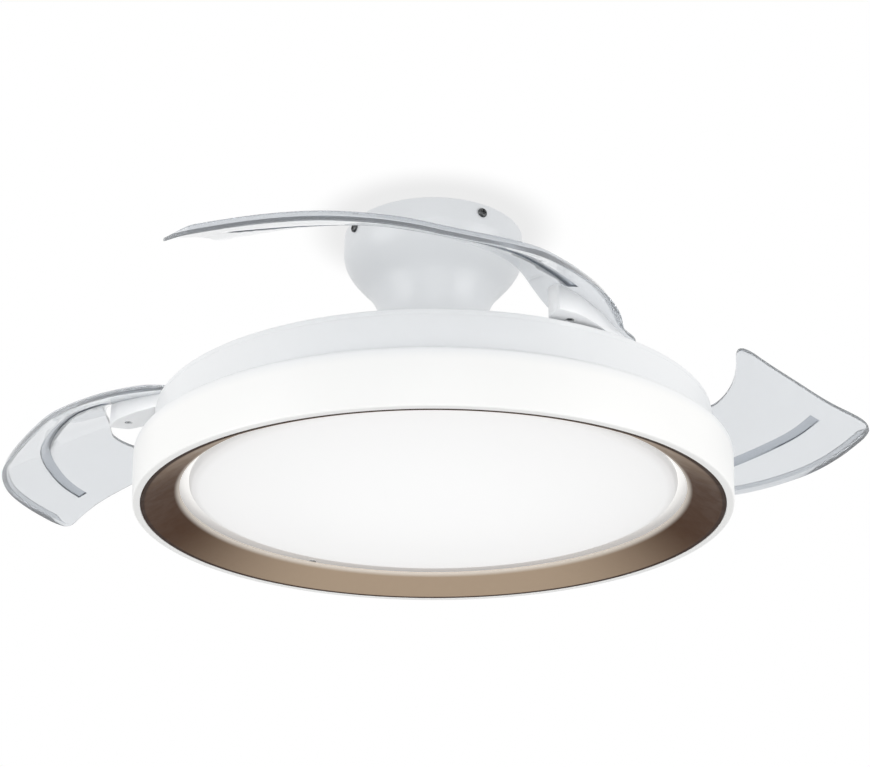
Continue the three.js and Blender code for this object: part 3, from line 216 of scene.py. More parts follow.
# ---------------------------------------------------------------- camera

PHOTO_WIDTH_PIXELS = 870
FOCAL_PIXELS = 1613.5
CAMERA_PLACE = (0.0014, -1.3098, -0.7077)
CAMERA_PITCH = math.radians(113.333)


def add_camera():
    data = bpy.data.cameras.new("camera")
    data.sensor_fit = "HORIZONTAL"
    data.sensor_width = 36
    data.lens = data.sensor_width * FOCAL_PIXELS / PHOTO_WIDTH_PIXELS
    data.clip_start = 0.05
    data.clip_end = 60
    camera = link("camera", data)
    camera.location = CAMERA_PLACE
    camera.rotation_euler = (CAMERA_PITCH, 0, 0)
    bpy.context.scene.camera = camera


# ---------------------------------------------------------------- material nodes

def linear(value):
    return value / 12.92 if value <= 0.04045 else ((value + 0.055) / 1.055) ** 2.4


def colour(red, green, blue):
    """Scene colour from display values between 0 and 1."""
    return (linear(red), linear(green), linear(blue), 1)


WHITE = (1, 1, 1, 1)
BLACK = (0, 0, 0, 1)
NOISE_BAND = (0.3, 0.7)     # most of a noise pattern's values lie between these
PAINTED_SHADE_NAME = "painted_shade"             # name of the blade faces' value of painted shade, a greyer colour: 0 for none, 1 for the groove's


class Nodes:
    """A node tree with short calls for adding and linking its nodes."""

    def __init__(self, owner):
        owner.use_nodes = True
        self.tree = owner.node_tree
        self.tree.nodes.clear()

    def add(self, kind, settings=None, **inputs):
        node = self.tree.nodes.new(kind)
        for key, value in (settings or {}).items():
            setattr(node, key, value)
        for key, value in inputs.items():
            self.put(node, key.replace("_", " "), value)
        return node

    def put(self, node, name, value):
        """Links or sets an input, by its name or its number."""
        socket = node.inputs[name]
        if isinstance(value, bpy.types.NodeSocket):
            self.tree.links.new(value, socket)
        else:
            socket.default_value = value

    def math(self, operation, first, second=0.0, kind="ShaderNodeMath"):
        node = self.add(kind, {"operation": operation})
        self.put(node, 0, first)
        self.put(node, 1, second)
        return node.outputs[0]

    def vector(self, operation, first, second):
        return self.math(operation, first, second, "ShaderNodeVectorMath")

    def blend(self, factor, first, second, how="MIX"):
        """Colour between two colours."""
        node = self.add("ShaderNodeMix", {"data_type": "RGBA", "blend_type": how})
        self.put(node, 0, factor)
        self.put(node, 6, first)
        self.put(node, 7, second)
        return node.outputs[2]

    def spread(self, value, low, high, to_low, to_high):
        """A value carried smoothly from one range to another."""
        node = self.add("ShaderNodeMapRange", {"interpolation_type": "SMOOTHSTEP"}, Value=value)
        for name, number in (("From Min", low), ("From Max", high), ("To Min", to_low), ("To Max", to_high)):
            node.inputs[name].default_value = number
        return node.outputs[0]

    def uneven(self, pattern, low, high):
        """A value that wanders between two others with a noise pattern."""
        return self.spread(pattern, *NOISE_BAND, low, high)

    def place(self):
        return self.add("ShaderNodeTexCoord").outputs["Object"]

    def split(self, vector, axis):
        return self.add("ShaderNodeSeparateXYZ", Vector=vector).outputs[axis]

    def from_axis(self, y=0.0):
        """Plan distance from an upright axis at x = 0, and the plan place measured from it."""
        moved = self.vector("SUBTRACT", self.place(), (0, y, 0))
        flat = self.vector("MULTIPLY", moved, (1, 1, 0))
        length = self.add("ShaderNodeVectorMath", {"operation": "LENGTH"})
        self.put(length, 0, flat)
        return length.outputs["Value"], flat

    def noise(self, scale, detail=3, stretch=(1, 1, 1)):
        mapping = self.add("ShaderNodeMapping", Vector=self.place(), Scale=stretch)
        node = self.add("ShaderNodeTexNoise", Vector=mapping.outputs[0], Scale=scale, Detail=detail)
        return node.outputs["Fac"]

    def bump(self, height, strength, distance=0.0002):
        return self.add("ShaderNodeBump", Height=height, Strength=strength, Distance=distance).outputs[0]

    def mix(self, factor, first, second):
        node = self.add("ShaderNodeMixShader")
        for i, value in enumerate((factor, first, second)):
            self.put(node, i, value)
        return node.outputs[0]

    def seen_directly(self, *rays):
        """1 for rays of the named kinds, and 0 for the rest, which light the object."""
        path = self.add("ShaderNodeLightPath")
        value = path.outputs[rays[0]]
        for ray in rays[1:]:
            value = self.math("MAXIMUM", value, path.outputs[ray])
        return value


def fixed(node, **values):
    """Values that are the same all over the surface, set on the node's own sockets."""
    for key, value in values.items():
        node.inputs[key.replace("_", " ")].default_value = value


class Finish(Nodes):
    """A new material's nodes, with its shader and its output."""

    def __init__(self, name):
        self.material = bpy.data.materials.new(name)
        super().__init__(self.material)
        self.shader = self.add("ShaderNodeBsdfPrincipled")
        self.out = self.add("ShaderNodeOutputMaterial", Surface=self.shader.outputs[0])

    def speckled(self, tone, mottle, scale):
        """Base colour with a faint slow variation."""
        dark = tuple(channel * (1 - mottle) for channel in tone[:3]) + (1,)
        return self.blend(self.noise(scale, 2), tone, dark)

    def surface(self, tone, roughness, normal):
        for name, value in (("Base Color", tone), ("Roughness", roughness), ("Normal", normal)):
            self.put(self.shader, name, value)

    def skin(self, tone, gloss, grain, bump):
        """Fine skin with a gloss that wanders, as (scale of its pattern, least, most roughness)."""
        scale, least, most = gloss
        self.surface(tone, self.uneven(self.noise(scale), least, most), self.bump(self.noise(grain), bump))

    def done(self, **values):
        """Sets the uniform values, and gives the material."""
        fixed(self.shader, **values)
        return self.material


def moulded(name, tone, roughness, grain, bump, mottle, coat=0.0):
    """Painted or moulded surface: fine skin, slightly uneven gloss and tone."""
    finish = Finish(name)
    finish.skin(finish.speckled(tone, mottle, 14), (60, roughness * 0.88, roughness * 1.12), grain, bump)
    return finish.done(Coat_Weight=coat, Coat_Roughness=0.12)


def metal(name, tone, roughness, stretch, grain=1500, bump=0.1):
    """Metal with fine marks, which a stretch draws out along one axis."""
    finish = Finish(name)
    marks = finish.noise(grain, 4, stretch)
    finish.surface(
        finish.speckled(tone, 0.12, 90),
        finish.uneven(marks, roughness * 0.75, roughness * 1.3),
        finish.bump(marks, bump, 0.0001),
    )
    return finish.done(Metallic=1.0)


def blade_clear():
    """Clear plastic with a slight haze and a faint ripple; painted shade makes it greyer in the groove and on
    the upstand.
    """
    finish = Finish("blade_clear")
    painted_shade = finish.add("ShaderNodeAttribute", {"attribute_name": PAINTED_SHADE_NAME}).outputs["Fac"]
    finish.surface(
        # Painted shade: a greyer base colour on the faces marked for it.
        finish.blend(painted_shade, colour(0.955, 0.963, 0.972), colour(0.62, 0.65, 0.69)),
        finish.spread(finish.noise(300), 0.35, 0.75, 0.015, 0.03),
        finish.bump(finish.noise(25, 2), 0.04, 0.0005),
    )
    body = finish.add("ShaderNodeVolumeAbsorption")
    fixed(body, Color=(0.1, 0.2, 0.3, 1), Density=22)
    finish.put(finish.out, "Volume", body.outputs[0])
    return finish.done(IOR=1.49, Transmission_Weight=0.82)


def shade_white():
    """White shell, greyer on the upper tier, with painted shade over the lower tier's rounded shoulder that
    blends into that grey.
    """
    finish = Finish("shade_white")
    height = finish.split(finish.place(), "Z")
    shoulder = z_at(SHADE_WAIST + CORNER_RADIUS)
    # Painted shade over the rounded shoulder, then the upper tier's greyer tone.
    upper = finish.spread(height, z_at(SHOULDER_SHADE_START) * MM, shoulder * MM, 0.0, 1.0)
    tone = finish.blend(upper, colour(0.965, 0.965, 0.96), colour(0.925, 0.931, 0.936))
    cloud = finish.blend(finish.noise(9, 2), WHITE, (0.975, 0.975, 0.975, 1))
    finish.skin(finish.blend(1.0, tone, cloud, "MULTIPLY"), (40, 0.3, 0.38), 700, 0.04)
    return finish.done()


def trim_gold():
    """Champagne paint on a cone, with a painted sheen lightest fore and aft, a painted shadow of the gap on
    the border, and painted lamp light beside the diffuser.
    """
    finish = Finish("trim_gold")
    radius, flat = finish.from_axis()
    # Painted sheen: the cone is coloured lighter where it faces fore and aft and darker at the sides.
    facing = finish.math("DIVIDE", finish.math("ABSOLUTE", finish.split(flat, "Y")), radius)
    painted_sheen = finish.spread(facing, 0.2, 0.95, 0.0, 1.0)
    tone = finish.blend(painted_sheen, colour(0.285, 0.19, 0.125), colour(0.69, 0.61, 0.525))
    grain = finish.blend(finish.noise(160), tone, colour(0.5, 0.42, 0.33))
    border = (TRIM_OUTER - TRIM_BORDER) * MM
    gap_shadow_from = (TRIM_OUTER - 0.6 * TRIM_BORDER) * MM
    lit_to = (TRIM_INNER + 5) * MM
    # Painted lamp light: the cone turns pale near its inner edge beside the diffuser.
    lit = finish.spread(radius, TRIM_INNER * MM, lit_to, 0.75, 0.0)
    cone = finish.blend(lit, finish.blend(0.06, tone, grain), colour(0.93, 0.9, 0.86))
    # Painted shadow of the gap between the trim and the shade's lip, darkening the border.
    edge = finish.spread(radius, border, gap_shadow_from, 0.0, 1.0)
    finish.skin(finish.blend(edge, cone, colour(0.2, 0.12, 0.07)), (90, 0.4, 0.5), 1400, 0.05)
    return finish.done(Specular_IOR_Level=0.06)


def painted_glow_tray():
    """White tray behind the diffuser's edge, with a painted glow of lamp light: the tray itself gives off
    light.
    """
    finish = Finish("lamp_tray_painted_glow")
    finish.skin(finish.speckled(colour(0.95, 0.945, 0.93), 0.02, 20), (80, 0.4, 0.5), 900, 0.05)
    # Painted lamp light: the tray glows though it is no lamp.
    return finish.done(Emission_Color=WHITE, Emission_Strength=0.42)


def diffuser_opal():
    """Milky diffuser, softly lit from inside and a little brighter in the middle."""
    finish = Finish("diffuser_opal")
    finish.skin(finish.speckled(colour(0.95, 0.95, 0.95), 0.01, 12), (500, 0.5, 0.6), 1200, 0.05)
    radius, _ = finish.from_axis()
    glow = finish.spread(radius, 0.03, DIFFUSER_RADIUS * MM, 0.24, 0.2)
    finish.put(finish.shader, "Emission Strength", glow)
    return finish.done(Emission_Color=WHITE)


def make_materials():
    """One material for each slot of the record."""
    return {
        "shade_white": shade_white(),
        "canopy_white": moulded("canopy_white", colour(0.86, 0.87, 0.88), 0.34, 700, 0.04, 0.03),
        "trim_gold": trim_gold(),
        "motor_alloy": metal("motor_alloy", colour(0.77, 0.775, 0.78), 0.5, (1, 1, 1), 700, 0.3),
        "diffuser_opal": diffuser_opal(),
        "blade_clear": blade_clear(),
        "arm_smoke": moulded("arm_smoke", colour(0.945, 0.95, 0.955), 0.32, 700, 0.05, 0.03, 0.2),
        "steel": metal("steel", colour(0.72, 0.73, 0.74), 0.3, (1, 1, 8)),
        "screw_black": metal("screw_black", colour(0.34, 0.345, 0.35), 0.24, (1, 1, 1), 900, 0.12),
        "zinc": metal("zinc", colour(0.78, 0.79, 0.8), 0.42, (3, 1, 1), 350, 0.12),
        "copper": metal("copper", colour(0.75, 0.45, 0.25), 0.35, (1, 1, 20), 400, 0.6),
        "ferrite": moulded("ferrite", colour(0.22, 0.22, 0.23), 0.75, 1600, 0.3, 0.2),
        "board_white": moulded("board_white", colour(0.92, 0.93, 0.91), 0.5, 1000, 0.1, 0.04),
        "casing_grey": moulded("casing_grey", colour(0.87, 0.87, 0.86), 0.6, 1800, 0.35, 0.05),
    }


MATERIALS = make_materials()


def set_finish(mesh, material):
    mesh.materials.clear()
    mesh.materials.append(material)


def finish_nodes():
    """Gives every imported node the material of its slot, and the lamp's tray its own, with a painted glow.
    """
    for part in frame["record"]["subparts"]:
        set_finish(frame["nodes"][part["node"]].data, MATERIALS[part["material_slot"]])
    set_finish(frame["nodes"]["lamp_tray"].data, painted_glow_tray())


# ---------------------------------------------------------------- mesh tools

def soften(corners, steps=4, closed=True):
    """Outline through (x, y, d) corners, each rounded off from a distance d before it to d after it."""
    points = []
    count = len(corners)
    for i, (x, y, distance) in enumerate(corners):
        here = Vector((x, y))
        at_end = not closed and i in (0, count - 1)
        if distance == 0 or at_end:
            points.append(here)
            continue
        back = Vector(corners[i - 1][:2]) - here
        onward = Vector(corners[(i + 1) % count][:2]) - here
        start = here + back.normalized() * min(distance, 0.45 * back.length)
        end = here + onward.normalized() * min(distance, 0.45 * onward.length)
        for step in range(steps + 1):
            t = step / steps
            points.append(start * (1 - t) ** 2 + here * 2 * t * (1 - t) + end * t * t)
    return points


def lathe(shape, outline, segments, centre=(0, 0)):
    """Adds an outline of (radius, z) millimetres turned about a vertical axis to a mesh."""
    on_axis = outline[0][0] == 0
    rings = []
    for radius, z in outline:
        if radius == 0:
            rings.append([shape.verts.new((centre[0] * MM, centre[1] * MM, z * MM))] * segments)
            continue
        ring = []
        for s in range(segments):
            angle = 2 * math.pi * s / segments
            x = centre[0] + radius * math.cos(angle)
            y = centre[1] + radius * math.sin(angle)
            ring.append(shape.verts.new((x * MM, y * MM, z * MM)))
        rings.append(ring)
    count = len(rings)
    for j in range(count - 1 if on_axis else count):
        low, high = rings[j], rings[(j + 1) % count]
        for s in range(segments):
            after = (s + 1) % segments
            corners = []
            for vertex in (low[s], low[after], high[after], high[s]):
                if vertex not in corners:
                    corners.append(vertex)
            if len(corners) > 2:
                shape.faces.new(corners)


def prism(shape, outline, low, high):
    """Adds an upright prism on a flat outline, in millimetres."""
    rows = [[shape.verts.new(Vector((x, y, z)) * MM) for x, y in outline] for z in (low, high)]
    count = len(outline)
    for j in range(count):
        after = (j + 1) % count
        shape.faces.new((rows[0][j], rows[0][after], rows[1][after], rows[1][j]))
    shape.faces.new(rows[0])
    shape.faces.new(reversed(rows[1]))


def link(name, data):
    """A new object in the scene."""
    thing = bpy.data.objects.new(name, data)
    bpy.context.scene.collection.objects.link(thing)
    return thing


def object_from(name, shape):
    bmesh.ops.recalc_face_normals(shape, faces=shape.faces)
    mesh = bpy.data.meshes.new(name)
    shape.to_mesh(mesh)
    shape.free()
    return link(name, mesh)


def turned(name, outline, segments=ROUND, centre=(0, 0)):
    """A new object: an outline turned about a vertical axis."""
    shape = bmesh.new()
    lathe(shape, outline, segments, centre)
    return object_from(name, shape)


def carve(thing, cutter_shape):
    """Cuts a second closed mesh out of a piece."""
    cutter = object_from("cutter", cutter_shape)
    modifier = thing.modifiers.new("cut", "BOOLEAN")
    modifier.operation = "DIFFERENCE"
    modifier.solver = "EXACT"
    modifier.object = cutter
    result = thing.evaluated_get(bpy.context.evaluated_depsgraph_get())
    mesh = bpy.data.meshes.new_from_object(result)
    thing.modifiers.clear()
    thing.data = mesh
    bpy.data.objects.remove(cutter)


def place(thing, slot, body, *nodes):
    """Smooths a piece, gives it its finish, ties it to the body, and hides the nodes that it stands for."""
    set_finish(thing.data, MATERIALS[slot])
    thing.data.shade_smooth()
    thing.data.set_sharp_from_angle(angle=SHARP_ANGLE)
    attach(thing, body)
    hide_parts(*nodes)


# ---------------------------------------------------------------- canopy

# Profile of the taper, as (share of the way in to the neck, share of the way down).
CANOPY_CURVE = ((0, 0), (0.06, 0.11), (0.17, 0.22), (0.34, 0.34), (0.665, 0.55), (0.885, 0.8), (0.965, 1))
NECK_START = 1.35           # the neck is straight from here down, on the same scale


def along(points, x):
    """Smooth curve through (x, y) points, at x."""
    if x <= points[0][0]:
        return points[0][1]
    if x >= points[-1][0]:
        return points[-1][1]
    i = next(n for n, point in enumerate(points) if point[0] > x) - 1
    (x0, y0), (x1, y1) = points[i], points[i + 1]
    chord = (y1 - y0) / (x1 - x0)

    def with_chord(a, b):
        return ((points[b][1] - points[a][1]) / (points[b][0] - points[a][0]) + chord) / 2

    start = with_chord(i - 1, i) if i > 0 else chord
    end = with_chord(i + 1, i + 2) if i < len(points) - 2 else chord
    t = (x - x0) / (x1 - x0)
    bend = (x1 - x0) * (start * t * (1 - t) ** 2 - end * t * t * (1 - t))
    return y0 * (1 + 2 * t) * (1 - t) ** 2 + y1 * (3 - 2 * t) * t * t + bend


def canopy_outline(inset):
    """Funnel from the ceiling down: upright band, rounded shoulder, hollow taper and straight neck."""
    wide = CANOPY_RADIUS - inset
    drop = CANOPY_RADIUS - NECK_RADIUS
    inward_at = [(down, inward) for inward, down in CANOPY_CURVE] + [(NECK_START, 1)]
    points = [(wide, CANOPY_TOP_Z), (wide, CANOPY_TOP_Z - 0.4 * CANOPY_BAND)]
    steps = 54
    for i in range(steps + 1):
        down = NECK_START * i / steps
        points.append((wide - drop * along(inward_at, down), -CANOPY_BAND - CANOPY_TAPER * down))
    points.append((NECK_RADIUS - inset, CANOPY_LOW_Z))
    return points


def add_canopy():
    outer = canopy_outline(0)
    inner = canopy_outline(CANOPY_WALL)
    lip = CANOPY_LIP
    rim_inner = CANOPY_RADIUS - CANOPY_WALL
    neck_inner = NECK_RADIUS - CANOPY_WALL
    top = [(rim_inner + lip, CANOPY_TOP_Z), (CANOPY_RADIUS - lip, CANOPY_TOP_Z),
           (CANOPY_RADIUS, CANOPY_TOP_Z - lip)]
    low = [(NECK_RADIUS, CANOPY_LOW_Z + lip), (NECK_RADIUS - lip, CANOPY_LOW_Z),
           (neck_inner + lip, CANOPY_LOW_Z), (neck_inner, CANOPY_LOW_Z + lip)]
    back = list(reversed(inner[1:-1])) + [(rim_inner, CANOPY_TOP_Z - lip)]
    cover = turned("canopy_cover", top + outer[1:-1] + low + back)
    place(cover, "canopy_white", "fixed_body", "canopy")


def add_canopy_screws():
    """Pan heads with a cross slot, lying outward on the band."""
    radius, height = SCREW_HEAD
    shank, length = SCREW_SHANK
    head = soften([(0, 0, 0), (radius, 0, 0.25), (radius, height * 0.5, 0.9), (radius * 0.72, height, 0.9),
                   (0, height, 0)], 4, False)
    outline = [(0, -length), (SCREW_CHAMFER, -length), (shank, SCREW_CHAMFER - length), (shank, 0), *head[1:]]
    slot_width, slot_length, slot_depth = SCREW_SLOT
    for i in range(SCREW_COUNT):
        screw = turned(f"canopy_screw_head_{i + 1}", outline, SMALL_ROUND)
        for x, y in ((slot_length / 2, slot_width / 2), (slot_width / 2, slot_length / 2)):
            slot = bmesh.new()
            prism(slot, [(-x, -y), (x, -y), (x, y), (-x, y)], height - slot_depth, height + CUT_PAST)
            carve(screw, slot)
        turn = Matrix.Rotation(math.radians(SCREW_ANGLE + 360 / SCREW_COUNT * i), 4, "Z")
        seat = Matrix.Translation(Vector((CANOPY_RADIUS + GAP, 0, -SCREW_DROP)) * MM)
        lay = Matrix.Rotation(math.pi / 2, 4, "Y")
        tilt = Matrix.Rotation(math.radians(SCREW_TURN * i), 4, "Z")
        screw.data.transform(turn @ seat @ lay @ tilt)
        place(screw, "screw_black", "fixed_body", f"canopy_screw_{i + 1}")


# ---------------------------------------------------------------- lamp body

def over_rim(corners):
    return [(radius, z_at(height), distance) for radius, height, distance in corners]


def add_shade():
    """White drum in two tiers, with a narrow flat lip below and a ledge inside."""
    rim_outer = BODY_RADIUS - SHADE_FLARE
    rim_inner = rim_outer - LIP_WIDTH
    inner = rim_outer - SHADE_WALL
    ledge_low, ledge_high, ledge_width = LEDGE
    step = SHADE_WAIST + CORNER_RADIUS
    roof = SHADE_TOP - ROOF_DROP
    ring_inner = TIER_RADIUS - ROOF_RING
    tier_inner = TIER_RADIUS - SHADE_WALL
    corner_inner = BODY_RADIUS - SHADE_WALL
    corners = [
        (rim_inner, 0, 0.9), (rim_outer, 0, 1.6), (BODY_RADIUS, SHADE_WAIST, 6),
        (BODY_RADIUS, step, CORNER_RADIUS), (TIER_RADIUS, step, 1.2), (TIER_RADIUS, SHADE_TOP, 0.15),
        (ring_inner, SHADE_TOP, 0.8), (ring_inner, roof, 1), (ROOF_INNER, roof, 0.8),
        (ROOF_INNER, roof - SHADE_WALL, 0.8), (tier_inner, roof - SHADE_WALL, 2),
        (tier_inner, step - SHADE_WALL, 1.5), (corner_inner, step - SHADE_WALL, 5),
        (inner, ledge_high, 1), (inner - ledge_width, ledge_high, 0.5), (inner - ledge_width, ledge_low, 0.5),
        (inner, ledge_low, 0.5), (inner, LIP_HEIGHT, 0.8), (rim_inner, LIP_HEIGHT, 0.8),
    ]
    shell = turned("shade_shell", soften(over_rim(corners), 6))
    place(shell, "shade_white", "fixed_body", "lamp_shade")


def add_trim():
    """Champagne cone that slopes up and in from a flat border, with an upright wall behind it."""
    wall = TRIM_OUTER - TRIM_SHEET
    border = TRIM_OUTER - TRIM_BORDER
    flange = BODY_RADIUS - SHADE_FLARE - SHADE_WALL - GAP
    flange_low, flange_high = TRIM_FLANGE
    low_outer, low_inner = TRIM_LOW
    corners = [
        (TRIM_OUTER, low_outer, 0.4), (TRIM_OUTER, flange_low, 0.3), (flange, flange_low, 0.5),
        (flange, flange_high, 0.5), (TRIM_OUTER, flange_high, 0.3), (TRIM_OUTER, TRIM_TOP, 0.6),
        (wall, TRIM_TOP, 0.6), (wall, CONE_BACK, 0.8), (TRIM_INNER, CONE_TOP, 1.0),
        (TRIM_INNER, CONE_TOP - TRIM_SHEET, 1.0), (border, low_inner, 1.5),
    ]
    cone = turned("gold_cone", soften(over_rim(corners)))
    place(cone, "trim_gold", "fixed_body", "gold_trim_ring")


# Profile of the diffuser from its middle to its side, as (share of the radius, share of the rise, rounding).
DISH_CURVE = ((0, 0, 0), (0.5, 0.07, 20), (0.85, 0.21, 14), (0.965, 0.36, 3), (0.99, 0.63, 1.5), (1, 1, 1))


def add_diffuser():
    """Shallow opal dish with a rolled edge."""
    def dish(inset):
        radius, low, rise = DIFFUSER_RADIUS - inset, DIFFUSER_FACE + inset, DIFFUSER_RISE - inset
        return [(radius * across, low + rise * up, distance) for across, up, distance in DISH_CURVE]

    wall = DIFFUSER_RADIUS - DIFFUSER_WALL
    width, thickness = DIFFUSER_FLANGE
    top, under = DIFFUSER_TOP, DIFFUSER_TOP - thickness
    edge = [(DIFFUSER_RADIUS, top, 0.6), (wall - width, top, 0.5), (wall - width, under, 0.5),
            (wall, under, 0.5)]
    corners = dish(0) + edge + list(reversed(dish(DIFFUSER_WALL)))
    diffuser = turned("diffuser_dish", soften(over_rim(corners), 6, False))
    place(diffuser, "diffuser_opal", "fixed_body", "diffuser")


# ---------------------------------------------------------------- blade disc and hinges

def pivot_angle(k):
    return math.radians(FIRST_PIVOT_ANGLE + 360 / BLADE_COUNT * k)


def pivot_place(k):
    return PIVOT_RADIUS * math.cos(pivot_angle(k)), PIVOT_RADIUS * math.sin(pivot_angle(k))


def limit_slot(k):
    """Cutter for the curved slot of a blade's limit peg."""
    half = PEG_RADIUS + GAP
    start = pivot_angle(k) + math.radians(FOLDED_HEADING - FIRST_PIVOT_ANGLE + PEG_BEARING)
    sweep = math.radians(FULL_SWING)
    centre_x, centre_y = pivot_place(k)
    steps = 24
    cap_steps = 8

    def at(reach, angle):
        return centre_x + reach * math.cos(angle), centre_y + reach * math.sin(angle)

    def cap(angle, turn):
        x, y = at(PEG_REACH, angle)
        turns = [turn + math.pi * i / cap_steps for i in range(1, cap_steps)]
        return [(x + half * math.cos(t), y + half * math.sin(t)) for t in turns]

    outline = [at(PEG_REACH + half, start + sweep * i / steps) for i in range(steps + 1)]
    outline += cap(start + sweep, start + sweep)
    outline += [at(PEG_REACH - half, start + sweep * (1 - i / steps)) for i in range(steps + 1)]
    outline += cap(start, start + math.pi)
    shape = bmesh.new()
    prism(shape, outline, z_at(DISC_BOTTOM - CUT_PAST), z_at(DISC_TOP + RUNNING_GAP))
    return shape


def add_disc():
    """Turning disc with a skirt under its edge and a curved slot for each blade's peg."""
    skirt_outer, skirt_low = TIER_RADIUS - SKIRT_INSET, SHADE_TOP + SKIRT_GAP
    skirt_inner = TIER_RADIUS - SKIRT_WIDTH
    corners = [
        (DISC_BORE, DISC_BOTTOM, 0.5), (skirt_inner, DISC_BOTTOM, 0.2), (skirt_inner, skirt_low, 0.1),
        (skirt_outer, skirt_low, 0.1), (skirt_outer, DISC_BOTTOM, 0.1), (TIER_RADIUS, DISC_BOTTOM, 0.1),
        (TIER_RADIUS, DISC_TOP, 1.2), (DISC_BORE, DISC_TOP, 0.5),
    ]
    disc = turned("blade_carrier_disc", soften(over_rim(corners)))
    for k in range(BLADE_COUNT):
        carve(disc, limit_slot(k))
    place(disc, "shade_white", "rotor", "blade_disc")


def add_boss_and_pin(k):
    """Raised ring round a hinge pin, and the pin with its rounded end over the blade."""
    inner = PIN_RADIUS + GAP
    base, top = DISC_TOP - BOSS_SINK, ARM_BOTTOM - GAP
    ring = [(inner, base, 0), (BOSS_RADIUS, base, 0), (BOSS_RADIUS, top, 0.5), (inner, top, 0.3)]
    boss = turned(f"hinge_boss_{k + 1}", soften(over_rim(ring), 3), SMALL_ROUND, pivot_place(k))
    place(boss, "shade_white", "rotor", "blade_disc")
    head, height = PIN_HEAD
    seat, tip = DISC_BOTTOM - GAP, ROOT_HEIGHT + BLADE_SHEET + PIN_PROUD
    stem = [(0, seat - height, 0), (head, seat - height, 0.8), (head, seat, 0.5), (PIN_RADIUS, seat, 0.3),
            (PIN_RADIUS, tip, 1.8), (0, tip, 0)]
    outline = soften(over_rim(stem), 5, False)
    pin = turned(f"hinge_pin_turned_{k + 1}", outline, SMALL_ROUND, pivot_place(k))
    place(pin, "steel", "rotor", f"hinge_pin_{k + 1}")


# ---------------------------------------------------------------- blades
# Outlines lie in the blade's own plan frame, in millimetres: x runs from the hinge to the tip, and +y is
# towards the outer edge.

OUTER_EDGE = (
    (-20, 8), (-12, 17), (2, 24), (28, 51), (58, 73), (88, 87), (120, 96), (152, 102), (182, 106.5),
    (212, 108.5), (243, 105.5), (272, 97), (302, 82.5), (332, 59), (358, 32), (371, 16), (377, 5),
)
INNER_EDGE = (
    (-20, -8), (-12, -16), (5, -20), (22, -9), (42, 0), (65, 6), (86, 18), (108, 33), (132, 40), (156, 36),
    (175, 30), (193, 22), (213, 14), (241, 1), (267, -29), (280, -54), (286, -70), (294, -79), (302, -77),
    (311, -66), (323, -51), (332, -40), (342, -28), (351, -19), (363, -11), (373, -5), (377, -3),
)


def blade_height(x, y):
    """Height of the blade's underside over the rim."""
    edge = BLADE_LOW + ROOT_RISE * ramp(x, *ROOT_CLIMB)
    pitch = BLADE_PITCH * ramp(x, *PITCH_GROWS) - (BLADE_PITCH - TIP_PITCH) * ramp(x, *PITCH_EASES)
    return edge + pitch * (along(OUTER_EDGE, x) - y)


def resample(points, spacing):
    """Points at even steps round a closed outline."""
    count = len(points)
    lengths = [(points[(i + 1) % count] - points[i]).length for i in range(count)]
    total = sum(lengths)
    steps = round(total / spacing)
    result = []
    i = 0
    start = 0
    for n in range(steps):
        target = total * n / steps
        while start + lengths[i] < target:
            start += lengths[i]
            i += 1
        result.append(points[i].lerp(points[(i + 1) % count], (target - start) / lengths[i]))
    return result


def relax(points, passes):
    """Rounds the corners of a closed outline with even steps."""
    for _ in range(passes):
        after = points[1:] + points[:1]
        points = [(points[i - 1] + 2 * points[i] + after[i]) / 4 for i in range(len(points))]
    return points


def inward_normals(outline):
    """Unit vectors into a clockwise outline, at each of its points."""
    after = outline[1:] + outline[:1]
    result = []
    for i in range(len(outline)):
        along_edge = (after[i] - outline[i - 1]).normalized()
        result.append(Vector((along_edge.y, -along_edge.x)))
    return result


def inside(points, loop):
    """Which of the points lie inside a closed loop."""
    x, y = points[:, 0:1], points[:, 1:2]
    x0, y0 = loop[:, 0], loop[:, 1]
    x1, y1 = np.roll(x0, -1), np.roll(y0, -1)
    crosses = (y0 > y) != (y1 > y)
    rise = np.where(y1 == y0, 1, y1 - y0)
    return (crosses & (x < x0 + (y - y0) * (x1 - x0) / rise)).sum(axis=1) % 2 == 1


def fill(shape, loops, height):
    """Covers the plan area inside the first loop of vertices, and outside the others, with triangles."""
    spacing = 6
    margin = 0.6 * spacing
    merge_distance = 1e-5
    corners = [vertex for loop in loops for vertex in loop]
    outlines = [np.array([vertex.co.xy[:] for vertex in loop]) / MM for loop in loops]
    edges = []
    for loop in loops:
        first = len(edges)
        edges += [(first + i, first + (i + 1) % len(loop)) for i in range(len(loop))]

    def covered(points):
        wanted = inside(points, outlines[0])
        for outline in outlines[1:]:
            wanted &= ~inside(points, outline)
        return wanted

    border = np.concatenate(outlines)
    low, high = border.min(axis=0), border.max(axis=0)
    columns, lines = (np.arange(low[axis], high[axis], spacing) for axis in (0, 1))
    grid = np.stack(np.meshgrid(columns, lines), -1).reshape(-1, 2)
    clear = np.array([np.hypot(*(border - point).T).min() > margin for point in grid])
    plan = [Vector(point) for point in np.concatenate([border, grid[clear & covered(grid)]])]
    places, _, faces, sources, _, _ = delaunay_2d_cdt(plan, edges, [], 0, merge_distance)
    middles = np.array([sum((places[i] for i in face), Vector((0, 0))) / 3 for face in faces])
    vertices = {}
    for face, wanted in zip(faces, covered(middles)):
        if not wanted:
            continue
        for i in face:
            if i in vertices:
                continue
            source = min(sources[i])
            if source < len(corners):
                vertices[i] = corners[source]
            else:
                x, y = places[i]
                vertices[i] = shape.verts.new(Vector((x, y, z_at(height(x, y)))) * MM)
        shape.faces.new([vertices[i] for i in face])


